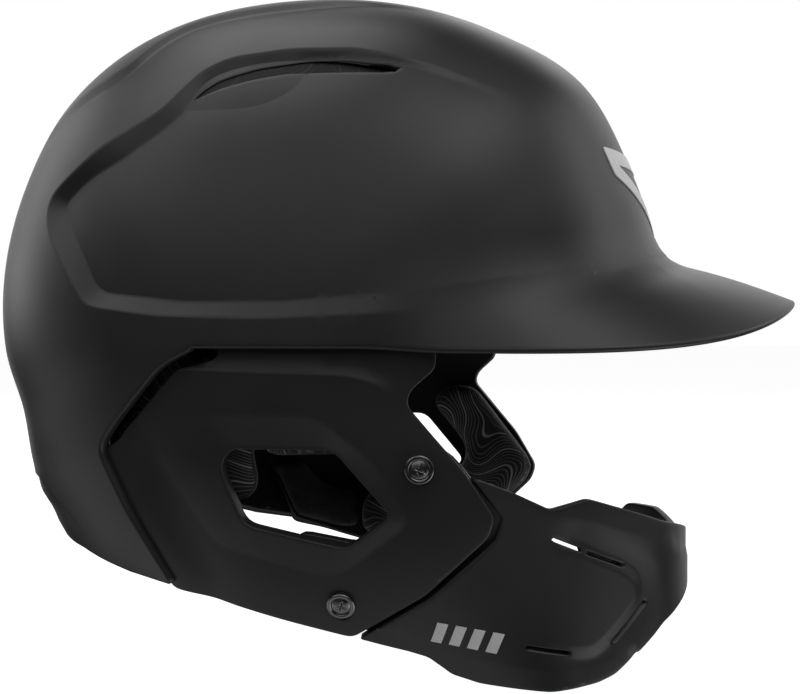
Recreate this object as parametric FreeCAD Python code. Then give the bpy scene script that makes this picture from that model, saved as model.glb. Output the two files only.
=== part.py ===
import FreeCAD, Part
import os
from math import atan2, ceil, cos, degrees, exp, hypot, pi, radians, sin

# Batting helmet with a right-hand jaw guard.  Units are millimetres.
# Frame: origin at the centre of the head, on the plane of symmetry and level with the
# lower side edge of the shell.  +X points to the bill, +Y to the wearer's left, +Z up.

# ---- driving dimensions -------------------------------------------------------------

HALF_WIDTH = 102.0        # centre plane to the widest point of the shell
DOME_POWER = 2.5          # squareness of the dome across its width
FRONT_RADIUS = 121.0      # head centre to the forehead at the shell's lower edge

# Radius of the dome in the plane of symmetry, by direction in degrees: 0 is forward,
# 90 is up and 180 is backward.
PROFILE = [(-90, 132), (-60, 136), (-30, 118), (0, FRONT_RADIUS), (30, 126.6), (45, 131.4),
           (60, 128), (90, 124), (120, 126.5), (135, 125.5), (150, 121), (180, 113.2),
           (192, 108.6), (203, 111), (208, 113.2), (213, 112.5), (216, 112.7), (228, 115), (240, 116),
           (270, 132)]
DOME_COLUMNS = 60         # points of the dome's net round the head
DOME_ROWS = 34            # and from the bottom to the crown

SHELL_WALL = 4.4          # shell thickness at its ridges
PANEL_DEPTH = 2.0         # how far the side panels are sunk into the shell
PANEL_FADE = (-20.0, 92.0)  # the panel is full depth behind the first X, flush at the second

BILL_LENGTH = 47.0        # overhang of the bill beyond the forehead
BILL_SPREAD = 76.0        # azimuth at which the bill has died into the side, degrees
BILL_THICKNESS = 3.4
BILL_EDGE_LEVEL = 0.5     # height of the bill's edge at its ends
BILL_ARCH = 16.0          # rise of the edge from its ends to its middle
BILL_ARCH_SPREAD = 23.0   # azimuth over which the edge rises, degrees
BILL_CAMBER = 1.2         # rise of the blade above a straight line from root to edge
BILL_THINNING = 0.25      # share of its thickness the blade loses towards its edge
BILL_ROOT = 2.0           # how far the blade reaches into the shell wall
BILL_STEPS = 32
BILL_ROWS = 5
CREASE_LEVELS = [(0, 31), (20, 29), (32, 26), (51, 22), (66, 18), (BILL_SPREAD, 15)]

FLAP_INSET = 5.2          # outer face of the ear flap, inside the dome surface
FLAP_WALL = 3.0
FLAP_FLATTEN = 0.38       # how much less the flap curves in towards the front
FLAP_FLATTEN_START = 10.0  # X from which it does so
FLAP_FLATTEN_DEPTH = 40.0  # distance below the shell edge at which it is complete
TAB_INSET = FLAP_INSET + FLAP_WALL + 0.2   # outer face of the guard's hidden tab
TAB_WALL = 3.0
GUARD_WALL = 3.5
GROOVE_DEPTH = 2.3        # blind grooves in the guard's outer face

LINER_INSET = 4.8         # outer face of the impact liner
LINER_INNER = 13.5
LINER_GAP = 1.0           # width of the joints between liner blocks
LINER_FRONT_X = 50.0      # joints of the side blocks with the front and rear ones
LINER_REAR_X = -60.0
LINER_CROWN_Z = 74.0      # lower edge of the crown block
LINER_SIDE_Z = 11.0       # the side blocks start above the flaps
LINER_FRONT_Z = 27.0
LINER_REAR_Z = -58.0
DISC_INSET = 13.6         # hook-and-loop discs between the liner and the pads
DISC_INNER = 14.8
DISC_RADIUS = 9.0
DISC_RAYS = [(0, 28), (32, 26), (-32, 26), (78, 26), (-78, 26), (102, 28), (-102, 28), (0, 82),
             (165, -14), (-165, -14)]   # azimuth and elevation of each disc, degrees
PAD_INSET = 14.9
PAD_INNER = 21.5
BROW_PAD = ((-66, 29), (66, 54))     # low and high corners, Y and Z
REAR_PAD = ((-52, -48), (52, -6))    # Y and Z
TEMPLE_PAD = ((-38, 12), (44, 44))   # X and Z
CROWN_PAD = ((-44, -30), (44, 30))   # X and Y
BROW_PAD_CORNER = 9.0
REAR_PAD_CORNER = 12.0
TEMPLE_PAD_CORNER = 10.0
CROWN_PAD_CORNER = 16.0
CHEEK_PAD_INSET_RIGHT = TAB_INSET + TAB_WALL + 1.4   # clear of the guard's tee nuts
CHEEK_PAD_INSET_LEFT = FLAP_INSET + FLAP_WALL + 0.2
CHEEK_PAD_THICKNESS = 12.0
CHEEK_PAD_TRIM = 3.0      # the right cheek pad ends this much further back than the left one
CHEEK_PAD_TRIM_START = 44.0   # X from which it does so
EAR_PAD_INSET = TAB_INSET + TAB_WALL + 0.4
EAR_PAD_THICKNESS = 8.5
FOAM_INSET = FLAP_INSET + FLAP_WALL + 0.2
FOAM_THICKNESS = 9.0

GUARD_SCREWS = [(48.2, -36.0), (21.8, -81.0)]   # X and Z of the two guard screws
GUARD_SCREW_RADIUS = 1.9
GUARD_SCREW_HEAD = 3.0
GUARD_SCREW_SINK = 0.4    # from the flap's face to the underside of the screw head
CROSS_LENGTH = 3.4        # cross recess in the screw head
CROSS_WIDTH = 0.8
CROSS_DEPTH = 1.0
CROSS_TURN = 20.0         # degrees
WASHER_RADIUS = 4.4
WASHER_HEIGHT = 1.7
BARREL_RADIUS = 2.9       # barrel of the tee nut
NUT_FLANGE_RADIUS = 6.0
NUT_FLANGE = 1.2
HOLE_CLEARANCE = 0.1
OPEN_HOLE_RADIUS = 2.6    # the same two holes in the left flap, with nothing in them
FLAP_SCREWS = [(-6.0, 4.6), (20.0, 4.6), (44.0, 4.6)]
FLAP_SCREW_RADIUS = 1.5
FLAP_SCREW_HEAD = 3.2
FLAP_SCREW_HEAD_HEIGHT = 1.8
FLAP_SCREW_TIP = 2.2      # how far below the dome surface the flap screws end

EMBLEM_RELIEF = 0.6
DECAL_RELIEF = 0.4
DECAL_BARS = 4
DECAL_PITCH = (5.8, -0.9)   # step from bar to bar, X and Z
DECAL_BAR = [(50, -91.2), (53.4, -91.8), (55.6, -85.2), (52.2, -84.6)]   # the first bar, X and Z

FAR = 200.0               # reach of a cutting tool past the object
BURIED = 0.02             # overlap of a raised mark with the face it lies on

# Outlines seen from the side, as X and Z.
PANEL = [(-73, 45), (-64, 53), (-37, 69), (-27, 84), (-18, 89.5), (-2, 93.5), (20, 94), (45, 89.5),
         (66, 81), (84, 74), (84, 24), (62, 20), (43, 17), (0, 13), (-34, 13), (-55, 17), (-61, 21),
         (-71, 38)]
VENT = [(-27, 80), (-20, 85.6), (-7, 90), (17, 90.4), (37, 88), (30, 86.6), (2, 86.6), (-12, 84)]
SHELL_OPENING = [(FAR, 27), (114, 26), (102, 23), (72, 19), (62, 16), (57, 0), (-21, 0.8), (-32, -4.5),
                 (-50.5, -24.5), (-55.5, -31), (-47, -50), (-34.5, -75), (-50, -72.7), (-70, -66.8),
                 (-130, -51), (-FAR, -51), (-FAR, -FAR), (FAR, -FAR)]
FLAP = [(52, 9), (-14, 9), (-15, -2.3), (-28, -5.4), (-45.7, -24.2), (-48.5, -28.5), (-54.5, -30.8),
        (-46.3, -50), (-33.5, -75.2), (-13, -81.3), (3, -85.5), (24, -90.8), (48, -76), (68, -57),
        (70, -51), (61.3, -36.9), (43.6, -16.2), (44.8, -12), (52.5, -5.2)]
EAR_HOLE = [(-11, -30), (21.6, -30), (38.9, -50), (25, -60.5), (-7, -53.6), (-14, -36)]
TAB = [(41, -27), (56, -30), (68, -46), (74, -52), (71.5, -61.5), (53, -80), (34, -89.5), (14, -87),
       (8, -70), (8, -56), (30, -60), (42, -47)]
GUARD_SIDE = [(62, -38.5), (75.5, -43.8), (86.4, -49.2), (98, -46.2), (120, -55), (FAR, -55),
              (FAR, -88), (120, -88), (106, -102), (101, -104), (87, -106.4), (66, -106.2),
              (57, -104.2), (49, -97.8), (26, -91.8), (49.5, -77), (69.3, -58), (71.3, -51)]
GUARD_FRONT_Y = -52.0     # the outlines from the side and from the front meet here
GUARD_FRONT = [(-FAR, -55), (GUARD_FRONT_Y, -55), (-27, -60), (-8, -62), (6, -57.5), (17, -57.5),
               (20, -61), (19, -72), (14, -76), (0, -79), (-27, -79), (GUARD_FRONT_Y, -88), (-FAR, -88)]
# Each slot or groove is its two ends and its width.
GUARD_SLOT = ((86.5, -58.2), (96.2, -62.4), 1.0)
GUARD_GROOVES = [((97, -62.8), (109.2, -68.1), 1.5), ((116.2, -79.7), (105.5, -92), 2.4),
                 ((79, -92), (92.6, -94.2), 1.6)]
CHEEK_PAD = [(25, -23), (34, -16.5), (44.5, -17.5), (67.5, -47), (69, -51), (66.5, -57), (47, -73.5),
             (24, -85.5), (3, -81), (-3, -79.5), (-4, -70), (-3, -63), (22, -64), (38, -52),
             (40.5, -46), (38.8, -40.5)]
REAR_EAR_PAD = [(-58, 7), (-20, 8), (-8, -12), (-4, -43), (-9, -47.5), (-42, -48.5), (-57, -36)]
EAR_FOAM = [(-43, -50), (-30, -49.5), (-27.5, -53), (-22, -58), (-14, -62), (-5, -63.5), (-5, -79),
            (-13, -77.5), (-31, -73)]

# The forehead emblem's outline seen from the front, as Y and Z.
EMBLEM = [(-45, 66.5), (45, 66.5), (45, 57), (0, 37), (-45, 57)]
EMBLEM_WINDOW = [(-38.5, 61), (38.5, 61), (0, 43.5)]

# Plan of the guard's outer face, X and Y at mid height, from the tab round the chin.
GUARD_PLAN = [(14, -88.4), (34, -87.8), (52, -86), (70, -82.4), (88, -76.4), (104, -68), (118, -56),
              (126, -42), (129.3, -26), (126.5, -8), (119, 8), (107, 21)]
GUARD_MID_LEVEL = -70.0


# ---- the dome and shapes that follow it ---------------------------------------------

def profile_radius(direction):
    """Radius of the dome in the plane of symmetry: a smooth curve through PROFILE."""
    direction = (direction + 90) % 360 - 90
    last = len(PROFILE) - 1
    i = max(k for k in range(last) if PROFILE[k][0] <= direction)
    before = PROFILE[i - 1] if i else (PROFILE[last - 1][0] - 360, PROFILE[last - 1][1])
    start, end = PROFILE[i], PROFILE[i + 1]
    after = PROFILE[i + 2] if i + 2 <= last else (PROFILE[1][0] + 360, PROFILE[1][1])
    span = end[0] - start[0]
    t = (direction - start[0]) / span
    slope_in = (end[1] - before[1]) / (end[0] - before[0]) * span
    slope_out = (after[1] - start[1]) / (after[0] - start[0]) * span
    return ((2 * t**3 - 3 * t**2 + 1) * start[1] + (t**3 - 2 * t**2 + t) * slope_in
            + (3 * t**2 - 2 * t**3) * end[1] + (t**3 - t**2) * slope_out)


def dome_radius(direction):
    """Distance from the head centre to the dome along a unit direction."""
    middle = hypot(direction.x, direction.z)
    if middle < 1e-9:
        return HALF_WIDTH
    reach = profile_radius(degrees(atan2(direction.z, direction.x)))
    across = (abs(direction.y) / HALF_WIDTH) ** DOME_POWER
    return (across + (middle / reach) ** DOME_POWER) ** (-1 / DOME_POWER)


def dome_half_width(x, z, limit=0.95):
    """Distance of the dome from the plane of symmetry, at X and Z."""
    ratio = min(limit, hypot(x, z) / profile_radius(degrees(atan2(z, x))))
    return HALF_WIDTH * (1 - ratio ** DOME_POWER) ** (1 / DOME_POWER)


def smooth(t):
    t = min(1.0, max(0.0, t))
    return t * t * (3 - 2 * t)


def dome_body(inset):
    """Closed solid inside the dome surface.  inset is a distance or a function of a point."""
    columns, rows = DOME_COLUMNS, DOME_ROWS
    spans = rows - 2
    levels = [0, 1 / 3] + list(range(1, spans)) + [spans - 1 / 3, spans]
    net = []
    for i in range(columns):
        azimuth = 2 * pi * i / columns - pi
        column = []
        for level in levels:
            elevation = pi * level / spans - pi / 2
            ray = FreeCAD.Vector(cos(elevation) * cos(azimuth), cos(elevation) * sin(azimuth),
                                 sin(elevation))
            point = ray * dome_radius(ray)
            depth = inset(point) if callable(inset) else inset
            column.append(point - ray * depth)
        column[0] = FreeCAD.Vector(0, 0, column[0].z)
        column[-1] = FreeCAD.Vector(0, 0, column[-1].z)
        column[1].z = column[0].z
        column[-2].z = column[-1].z
        net.append(column)
    # A spline passes inside its net, so each point moves out by a sixth of its bend.
    around = [[p + (p * 2 - net[i - 1][j] - net[(i + 1) % columns][j]) / 6
               for j, p in enumerate(column)] for i, column in enumerate(net)]
    poles = [[p if j in (0, 1, rows - 1, rows) else p + (p * 2 - column[j - 1] - column[j + 1]) / 6
              for j, p in enumerate(column)] for column in around]
    for column in poles:
        column[0], column[-1] = net[0][0], net[0][-1]
    surface = Part.BSplineSurface()
    surface.buildFromPolesMultsKnots(
        poles, [1] * (columns + 1), [4] + [1] * (spans - 1) + [4],
        [float(k) for k in range(columns + 1)], [float(k) for k in range(spans + 1)],
        True, False, 3, 3)
    return upright(Part.Solid(Part.Shell([surface.toShape()])))


def upright(solid):
    if solid.Volume < 0:
        solid.reverse()
    return solid


def prism(outline, axis, start, end):
    """Outline extruded along an axis: 'y' takes X and Z points, 'x' Y and Z, 'z' X and Y."""
    place = {"x": lambda a, b: (start, a, b), "y": lambda a, b: (a, start, b),
             "z": lambda a, b: (a, b, start)}[axis]
    points = [FreeCAD.Vector(*place(a, b)) for a, b in outline]
    travel = {"x": (1, 0, 0), "y": (0, 1, 0), "z": (0, 0, 1)}[axis]
    face = Part.Face(Part.makePolygon(points + points[:1]))
    return face.extrude(FreeCAD.Vector(*travel) * (end - start))


def rounded(outline, radius):
    """The outline with each corner replaced by four points of an arc-like curve."""
    result = []
    for i, corner in enumerate(outline):
        corner = FreeCAD.Vector(corner[0], corner[1], 0)
        legs = []
        for other in (outline[i - 1], outline[(i + 1) % len(outline)]):
            leg = FreeCAD.Vector(other[0], other[1], 0) - corner
            legs.append(leg * (min(radius, leg.Length * 0.45) / leg.Length))
        for t in (0, 1 / 3, 2 / 3, 1):
            point = corner + legs[0] * (1 - t) ** 2 + legs[1] * t ** 2
            result.append((point.x, point.y))
    return result


def rectangle(low, high):
    return [(low[0], low[1]), (high[0], low[1]), (high[0], high[1]), (low[0], high[1])]


def mirrored(shape):
    return shape.mirror(FreeCAD.Vector(0, 0, 0), FreeCAD.Vector(0, 1, 0))


def both_sides(solids):
    return Part.makeCompound(solids + [mirrored(s) for s in solids])


def thick_sheet(outer_rows, inner_rows):
    """Solid between two grids of points."""
    faces = []
    for rows in (outer_rows, inner_rows):
        surface = Part.BSplineSurface()
        surface.interpolate(rows)
        faces.append(surface)
    outer, inner = faces
    u0, u1, v0, v1 = outer.bounds()
    w0, w1, x0, x1 = inner.bounds()
    borders = [(outer.uIso(u0), inner.uIso(w0)), (outer.uIso(u1), inner.uIso(w1)),
               (outer.vIso(v0), inner.vIso(x0)), (outer.vIso(v1), inner.vIso(x1))]
    sides = [Part.makeRuledSurface(a.toShape(), b.toShape()) for a, b in borders]
    shell = Part.Shell([outer.toShape(), inner.toShape()] + sides)
    shell.sewShape()
    return upright(Part.Solid(shell))


def layer(outer, inner, *tools):
    """Part of the dome between two insets that lies inside every tool."""
    shape = dome_body(outer).cut(dome_body(inner))
    for tool in tools:
        shape = shape.common(tool)
    return shape


# ---- outer shell --------------------------------------------------------------------

def panel_depth(point):
    start, end = PANEL_FADE
    return 0.1 + PANEL_DEPTH * smooth((end - point.x) / (end - start))


def crease_point(azimuth):
    """Point of the dome where the bill leaves it."""
    level = interpolated(CREASE_LEVELS, abs(azimuth))
    low, high = -30.0, 60.0
    for _ in range(40):
        elevation = radians((low + high) / 2)
        ray = FreeCAD.Vector(cos(elevation) * cos(radians(azimuth)),
                             cos(elevation) * sin(radians(azimuth)), sin(elevation))
        point = ray * dome_radius(ray)
        if point.z < level:
            low = (low + high) / 2
        else:
            high = (low + high) / 2
    return point


def interpolated(table, value):
    for (x0, y0), (x1, y1) in zip(table, table[1:]):
        if value <= x1:
            return y0 + (y1 - y0) * (value - x0) / (x1 - x0)
    return table[-1][1]


def bill_edge_point(azimuth):
    out = FreeCAD.Vector(cos(radians(azimuth)), sin(radians(azimuth)), 0)
    plan = ((abs(out.x) / FRONT_RADIUS) ** DOME_POWER
            + (abs(out.y) / HALF_WIDTH) ** DOME_POWER) ** (-1 / DOME_POWER)
    overhang = BILL_LENGTH * cos(radians(90 * azimuth / BILL_SPREAD)) ** 2 - 1
    edge = out * (plan + overhang)
    edge.z = BILL_EDGE_LEVEL + BILL_ARCH * exp(-(azimuth / BILL_ARCH_SPREAD) ** 2)
    return edge


def bill():
    top, bottom = [], []
    for i in range(BILL_STEPS + 1):
        azimuth = BILL_SPREAD * (2 * i / BILL_STEPS - 1)
        root = crease_point(azimuth)
        outward = FreeCAD.Vector(root.x, root.y, 0).normalize()
        root = root - outward * BILL_ROOT
        edge = bill_edge_point(azimuth)
        along = edge - root
        run = along.dot(outward)
        normal = (outward * along.z - FreeCAD.Vector(0, 0, run)).normalize()
        camber = BILL_CAMBER * min(1, run / BILL_LENGTH)
        shares = [k / BILL_ROWS for k in range(BILL_ROWS + 1)]
        rows_top = [root + along * t + FreeCAD.Vector(0, 0, camber * sin(pi * t)) for t in shares]
        top.append(rows_top)
        bottom.append([p + normal * BILL_THICKNESS * (1 - BILL_THINNING * t)
                       for p, t in zip(rows_top, shares)])
    return thick_sheet(top, bottom)


def outer_shell():
    wall = dome_body(0).cut(dome_body(SHELL_WALL))
    wall = wall.cut(prism(SHELL_OPENING, "y", -FAR, FAR))
    sunk = dome_body(-1).cut(dome_body(panel_depth)).common(prism(PANEL, "y", -FAR, FAR))
    wall = wall.cut(sunk).cut(prism(VENT, "y", -FAR, FAR))
    shell = wall.fuse(bill())
    pilots = [flap_screw(x, z, 0) for x, z in FLAP_SCREWS]
    return shell.cut(both_sides(pilots))


# ---- ear flaps ----------------------------------------------------------------------

def flap_half_width(x, z):
    """Distance of the flap's reference surface from the plane of symmetry."""
    squeeze = 1 - FLAP_FLATTEN * smooth(-z / FLAP_FLATTEN_DEPTH)
    if x > FLAP_FLATTEN_START:
        x = FLAP_FLATTEN_START + (x - FLAP_FLATTEN_START) * squeeze
    return dome_half_width(x, z)


def flap_layer(outer, inner, outline, corner=3.0):
    """Right-hand plate between two insets, inside an outline of X and Z points."""
    xs = [-64 + 6 * i for i in range(26)]
    zs = [-102 + 6 * i for i in range(20)]
    grids = [[[FreeCAD.Vector(x, inset - flap_half_width(x, z), z) for z in zs] for x in xs]
             for inset in (outer, inner)]
    return thick_sheet(*grids).common(prism(rounded(outline, corner), "y", -FAR, 0))


def flap_axis(x, z):
    """Point of the flap's reference surface and its outward direction, right-hand side."""
    step = 2.0
    slope_x = (flap_half_width(x + step, z) - flap_half_width(x - step, z)) / (2 * step)
    slope_z = (flap_half_width(x, z + step) - flap_half_width(x, z - step)) / (2 * step)
    outward = FreeCAD.Vector(-slope_x, -1, -slope_z).normalize()
    return FreeCAD.Vector(x, -flap_half_width(x, z), z), outward


def pin(x, z, radius, outer, inner):
    """Cylinder square to the flap.  Its insets are measured along Y, as the flap's are."""
    point, outward = flap_axis(x, z)
    scale = -outward.y
    return Part.makeCylinder(radius, (inner - outer) * scale, point - outward * inner * scale, outward)


def ear_flap(hole_radius):
    flap = flap_layer(FLAP_INSET, FLAP_INSET + FLAP_WALL, FLAP)
    flap = flap.cut(prism(rounded(EAR_HOLE, 3), "y", -FAR, 0))
    for x, z in GUARD_SCREWS:
        flap = flap.cut(pin(x, z, hole_radius, -5, 30))
    for x, z in FLAP_SCREWS:
        flap = flap.cut(pin(x, z, FLAP_SCREW_RADIUS + HOLE_CLEARANCE, 4, 12))
    return flap


def flap_screw(x, z, clearance=0.02):
    head = FLAP_INSET + FLAP_WALL + clearance
    shank = pin(x, z, FLAP_SCREW_RADIUS, FLAP_SCREW_TIP, head + 1)
    return shank.fuse(pin(x, z, FLAP_SCREW_HEAD, head, head + FLAP_SCREW_HEAD_HEIGHT))


# ---- jaw guard and what holds it -----------------------------------------------------

def plan_curve():
    curve = Part.BSplineCurve()
    curve.interpolate([FreeCAD.Vector(x, y, 0) for x, y in GUARD_PLAN])
    return curve


def guard_layer(outer, inner):
    """Strip along the guard's plan between two insets, taller than the guard."""
    curve = plan_curve()
    first, last = curve.FirstParameter, curve.LastParameter
    steps = 26
    grids = [[], []]
    for i in range(steps + 1):
        t = first + (last - first) * i / steps
        point = curve.value(t)
        along = curve.tangent(t)[0]
        inward = FreeCAD.Vector(-along.y, along.x, 0)
        hold = 1 - smooth((point.x - 45) / 50)
        for grid, inset in zip(grids, (outer, inner)):
            column = []
            for k in range(9):
                z = -110 + 10 * k
                lean = flap_half_width(point.x, GUARD_MID_LEVEL) - flap_half_width(point.x, z)
                column.append(point + inward * (inset + hold * lean) + FreeCAD.Vector(0, 0, z))
            grid.append(column)
    return thick_sheet(*grids)


def slot_outline(start, end, width):
    a, b = FreeCAD.Vector(*start, 0), FreeCAD.Vector(*end, 0)
    side = FreeCAD.Vector(a.y - b.y, b.x - a.x, 0).normalize() * (width / 2)
    return [(p.x, p.y) for p in (a - side, b - side, b + side, a + side)]


def jaw_guard():
    strip = guard_layer(0, GUARD_WALL)
    side = strip.common(prism(rounded(GUARD_SIDE, 2.5), "y", -FAR, GUARD_FRONT_Y))
    front = strip.common(prism(rounded(GUARD_FRONT, 4), "x", 60, FAR))
    front = front.common(block((60, GUARD_FRONT_Y, -FAR), (FAR, FAR, 0)))
    guard = side.fuse(front)
    guard = guard.fuse(flap_layer(TAB_INSET, TAB_INSET + TAB_WALL, TAB, 5))
    guard = guard.cut(prism(slot_outline(*GUARD_SLOT), "y", -FAR, -40))
    skin = guard_layer(-1, GROOVE_DEPTH)
    for groove in GUARD_GROOVES:
        guard = guard.cut(skin.common(prism(slot_outline(*groove), "y", -FAR, -40)))
    for x, z in GUARD_SCREWS:
        guard = guard.cut(pin(x, z, BARREL_RADIUS + HOLE_CLEARANCE, -5, 30))
    return guard.removeSplitter()


def guard_screws():
    solids = []
    for x, z in GUARD_SCREWS:
        seat = FLAP_INSET - GUARD_SCREW_SINK
        head = pin(x, z, GUARD_SCREW_HEAD, FLAP_INSET - WASHER_HEIGHT, seat)
        screw = head.fuse(pin(x, z, GUARD_SCREW_RADIUS, seat - 0.1, TAB_INSET + TAB_WALL + 1))
        point, outward = flap_axis(x, z)
        turn = FreeCAD.Rotation(FreeCAD.Vector(0, 0, 1), outward)
        top = point + outward * outward.y * (FLAP_INSET - WASHER_HEIGHT)
        turn = turn.multiply(FreeCAD.Rotation(FreeCAD.Vector(0, 0, 1), CROSS_TURN))
        for a, b in ((CROSS_LENGTH / 2, CROSS_WIDTH / 2), (CROSS_WIDTH / 2, CROSS_LENGTH / 2)):
            bar = block((-a, -b, -CROSS_DEPTH), (a, b, CROSS_DEPTH))
            bar.Placement = FreeCAD.Placement(top, turn)
            screw = screw.cut(bar)
        solids.append(screw)
    return Part.makeCompound(solids)


def guard_washers():
    solids = []
    for x, z in GUARD_SCREWS:
        cup = pin(x, z, WASHER_RADIUS, FLAP_INSET - WASHER_HEIGHT, FLAP_INSET)
        seat = FLAP_INSET - GUARD_SCREW_SINK
        cup = cup.cut(pin(x, z, GUARD_SCREW_HEAD + 0.05, FLAP_INSET - WASHER_HEIGHT - 1, seat))
        solids.append(cup.cut(pin(x, z, GUARD_SCREW_RADIUS + 0.05, 0, FLAP_INSET + 1)))
    return Part.makeCompound(solids)


def guard_tee_nuts():
    back = TAB_INSET + TAB_WALL + 0.05
    solids = []
    for x, z in GUARD_SCREWS:
        flange = pin(x, z, NUT_FLANGE_RADIUS, back, back + NUT_FLANGE)
        nut = flange.fuse(pin(x, z, BARREL_RADIUS, FLAP_INSET + 0.3, back + 0.5))
        solids.append(nut.cut(pin(x, z, GUARD_SCREW_RADIUS + 0.02, 0, 30)))
    return Part.makeCompound(solids)


# ---- liner and pads -----------------------------------------------------------------

def block(low, high):
    return Part.makeBox(high[0] - low[0], high[1] - low[1], high[2] - low[2], FreeCAD.Vector(*low))


def liner_block(low, high):
    return layer(LINER_INSET, LINER_INNER, block(low, high))


def dome_pad(axis, corners, radius, start, end):
    return layer(PAD_INSET, PAD_INNER, prism(rounded(rectangle(*corners), radius), axis, start, end))


def hook_discs():
    """Round fasteners between the liner and the comfort pads."""
    hollow = dome_body(DISC_INSET).cut(dome_body(DISC_INNER))
    discs = []
    for azimuth, elevation in DISC_RAYS:
        a, e = radians(azimuth), radians(elevation)
        ray = FreeCAD.Vector(cos(e) * cos(a), cos(e) * sin(a), sin(e))
        discs.append(hollow.common(Part.makeCylinder(DISC_RADIUS, FAR, FreeCAD.Vector(0, 0, 0), ray)))
    return Part.makeCompound([d.Solids[0] for d in discs])


def ear_pad(outline, inset, thickness):
    return flap_layer(inset, inset + thickness, outline, 4)


# ---- marks --------------------------------------------------------------------------

def front_emblem():
    """Raised outline of a wide home plate, a plain five-sided mark."""
    mark = layer(-EMBLEM_RELIEF, BURIED, prism(EMBLEM, "x", 40, FAR))
    return mark.cut(prism(EMBLEM_WINDOW, "x", 40, FAR))


def guard_decal():
    """Slanted bars on the guard's outer face."""
    strip = guard_layer(-DECAL_RELIEF, -BURIED)
    bars = []
    for k in range(DECAL_BARS):
        corners = [(x + DECAL_PITCH[0] * k, z + DECAL_PITCH[1] * k) for x, z in DECAL_BAR]
        bars.append(strip.common(prism(corners, "y", -FAR, -40)))
    return Part.makeCompound([b.Solids[0] for b in bars])


# ---- the assembly -------------------------------------------------------------------

def nodes():
    right_flap = ear_flap(BARREL_RADIUS + HOLE_CLEARANCE)
    right_cheek = [(x - CHEEK_PAD_TRIM if x > CHEEK_PAD_TRIM_START else x, z) for x, z in CHEEK_PAD]
    front, rear, crown = LINER_FRONT_X, LINER_REAR_X, LINER_CROWN_Z
    gap = LINER_GAP / 2
    side_liner = liner_block((rear + gap, -FAR, LINER_SIDE_Z), (front - gap, 0, crown - gap))
    temple = dome_pad("y", TEMPLE_PAD, TEMPLE_PAD_CORNER, -FAR, 0)
    rear_ear = ear_pad(REAR_EAR_PAD, EAR_PAD_INSET, EAR_PAD_THICKNESS)
    ear_foam = ear_pad(EAR_FOAM, FOAM_INSET, FOAM_THICKNESS)
    flap_screws = Part.makeCompound([flap_screw(x, z) for x, z in FLAP_SCREWS])
    return {
        "outer_shell": outer_shell(),
        "ear_flap_right": right_flap,
        "ear_flap_left": mirrored(ear_flap(OPEN_HOLE_RADIUS)),
        "flap_screws_right": flap_screws,
        "flap_screws_left": mirrored(flap_screws),
        "jaw_guard": jaw_guard(),
        "guard_screws": guard_screws(),
        "guard_cup_washers": guard_washers(),
        "guard_tee_nuts": guard_tee_nuts(),
        "liner_front": liner_block((front + gap, -FAR, LINER_FRONT_Z), (FAR, FAR, FAR)),
        "liner_rear": liner_block((-FAR, -FAR, LINER_REAR_Z), (rear - gap, FAR, FAR)),
        "liner_crown": liner_block((rear + gap, -FAR, crown + gap), (front - gap, FAR, FAR)),
        "liner_right": side_liner,
        "liner_left": mirrored(side_liner),
        "brow_pad": dome_pad("x", BROW_PAD, BROW_PAD_CORNER, 30, FAR),
        "crown_pad": dome_pad("z", CROWN_PAD, CROWN_PAD_CORNER, 40, FAR),
        "temple_pad_right": temple,
        "temple_pad_left": mirrored(temple),
        "rear_pad": dome_pad("x", REAR_PAD, REAR_PAD_CORNER, -FAR, -40),
        "cheek_pad_right": ear_pad(right_cheek, CHEEK_PAD_INSET_RIGHT, CHEEK_PAD_THICKNESS),
        "cheek_pad_left": mirrored(ear_pad(CHEEK_PAD, CHEEK_PAD_INSET_LEFT, CHEEK_PAD_THICKNESS)),
        "rear_ear_pad_right": rear_ear,
        "rear_ear_pad_left": mirrored(rear_ear),
        "ear_foam_right": ear_foam,
        "ear_foam_left": mirrored(ear_foam),
        "pad_hook_discs": hook_discs(),
        "front_emblem": front_emblem(),
        "guard_decal": guard_decal(),
    }


os.makedirs("parts", exist_ok=True)
for name, shape in nodes().items():
    print(f"{name}: {len(shape.Solids)} solids, {shape.Volume / 1000:.1f} cm3, valid {shape.isValid()}")
    shape.exportStep(f"parts/{name}.step")
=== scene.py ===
from math import cos, pi, radians, sin

import bpy
import numpy as np
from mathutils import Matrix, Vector
from mathutils.geometry import delaunay_2d_cdt
from mathutils.kdtree import KDTree


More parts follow.
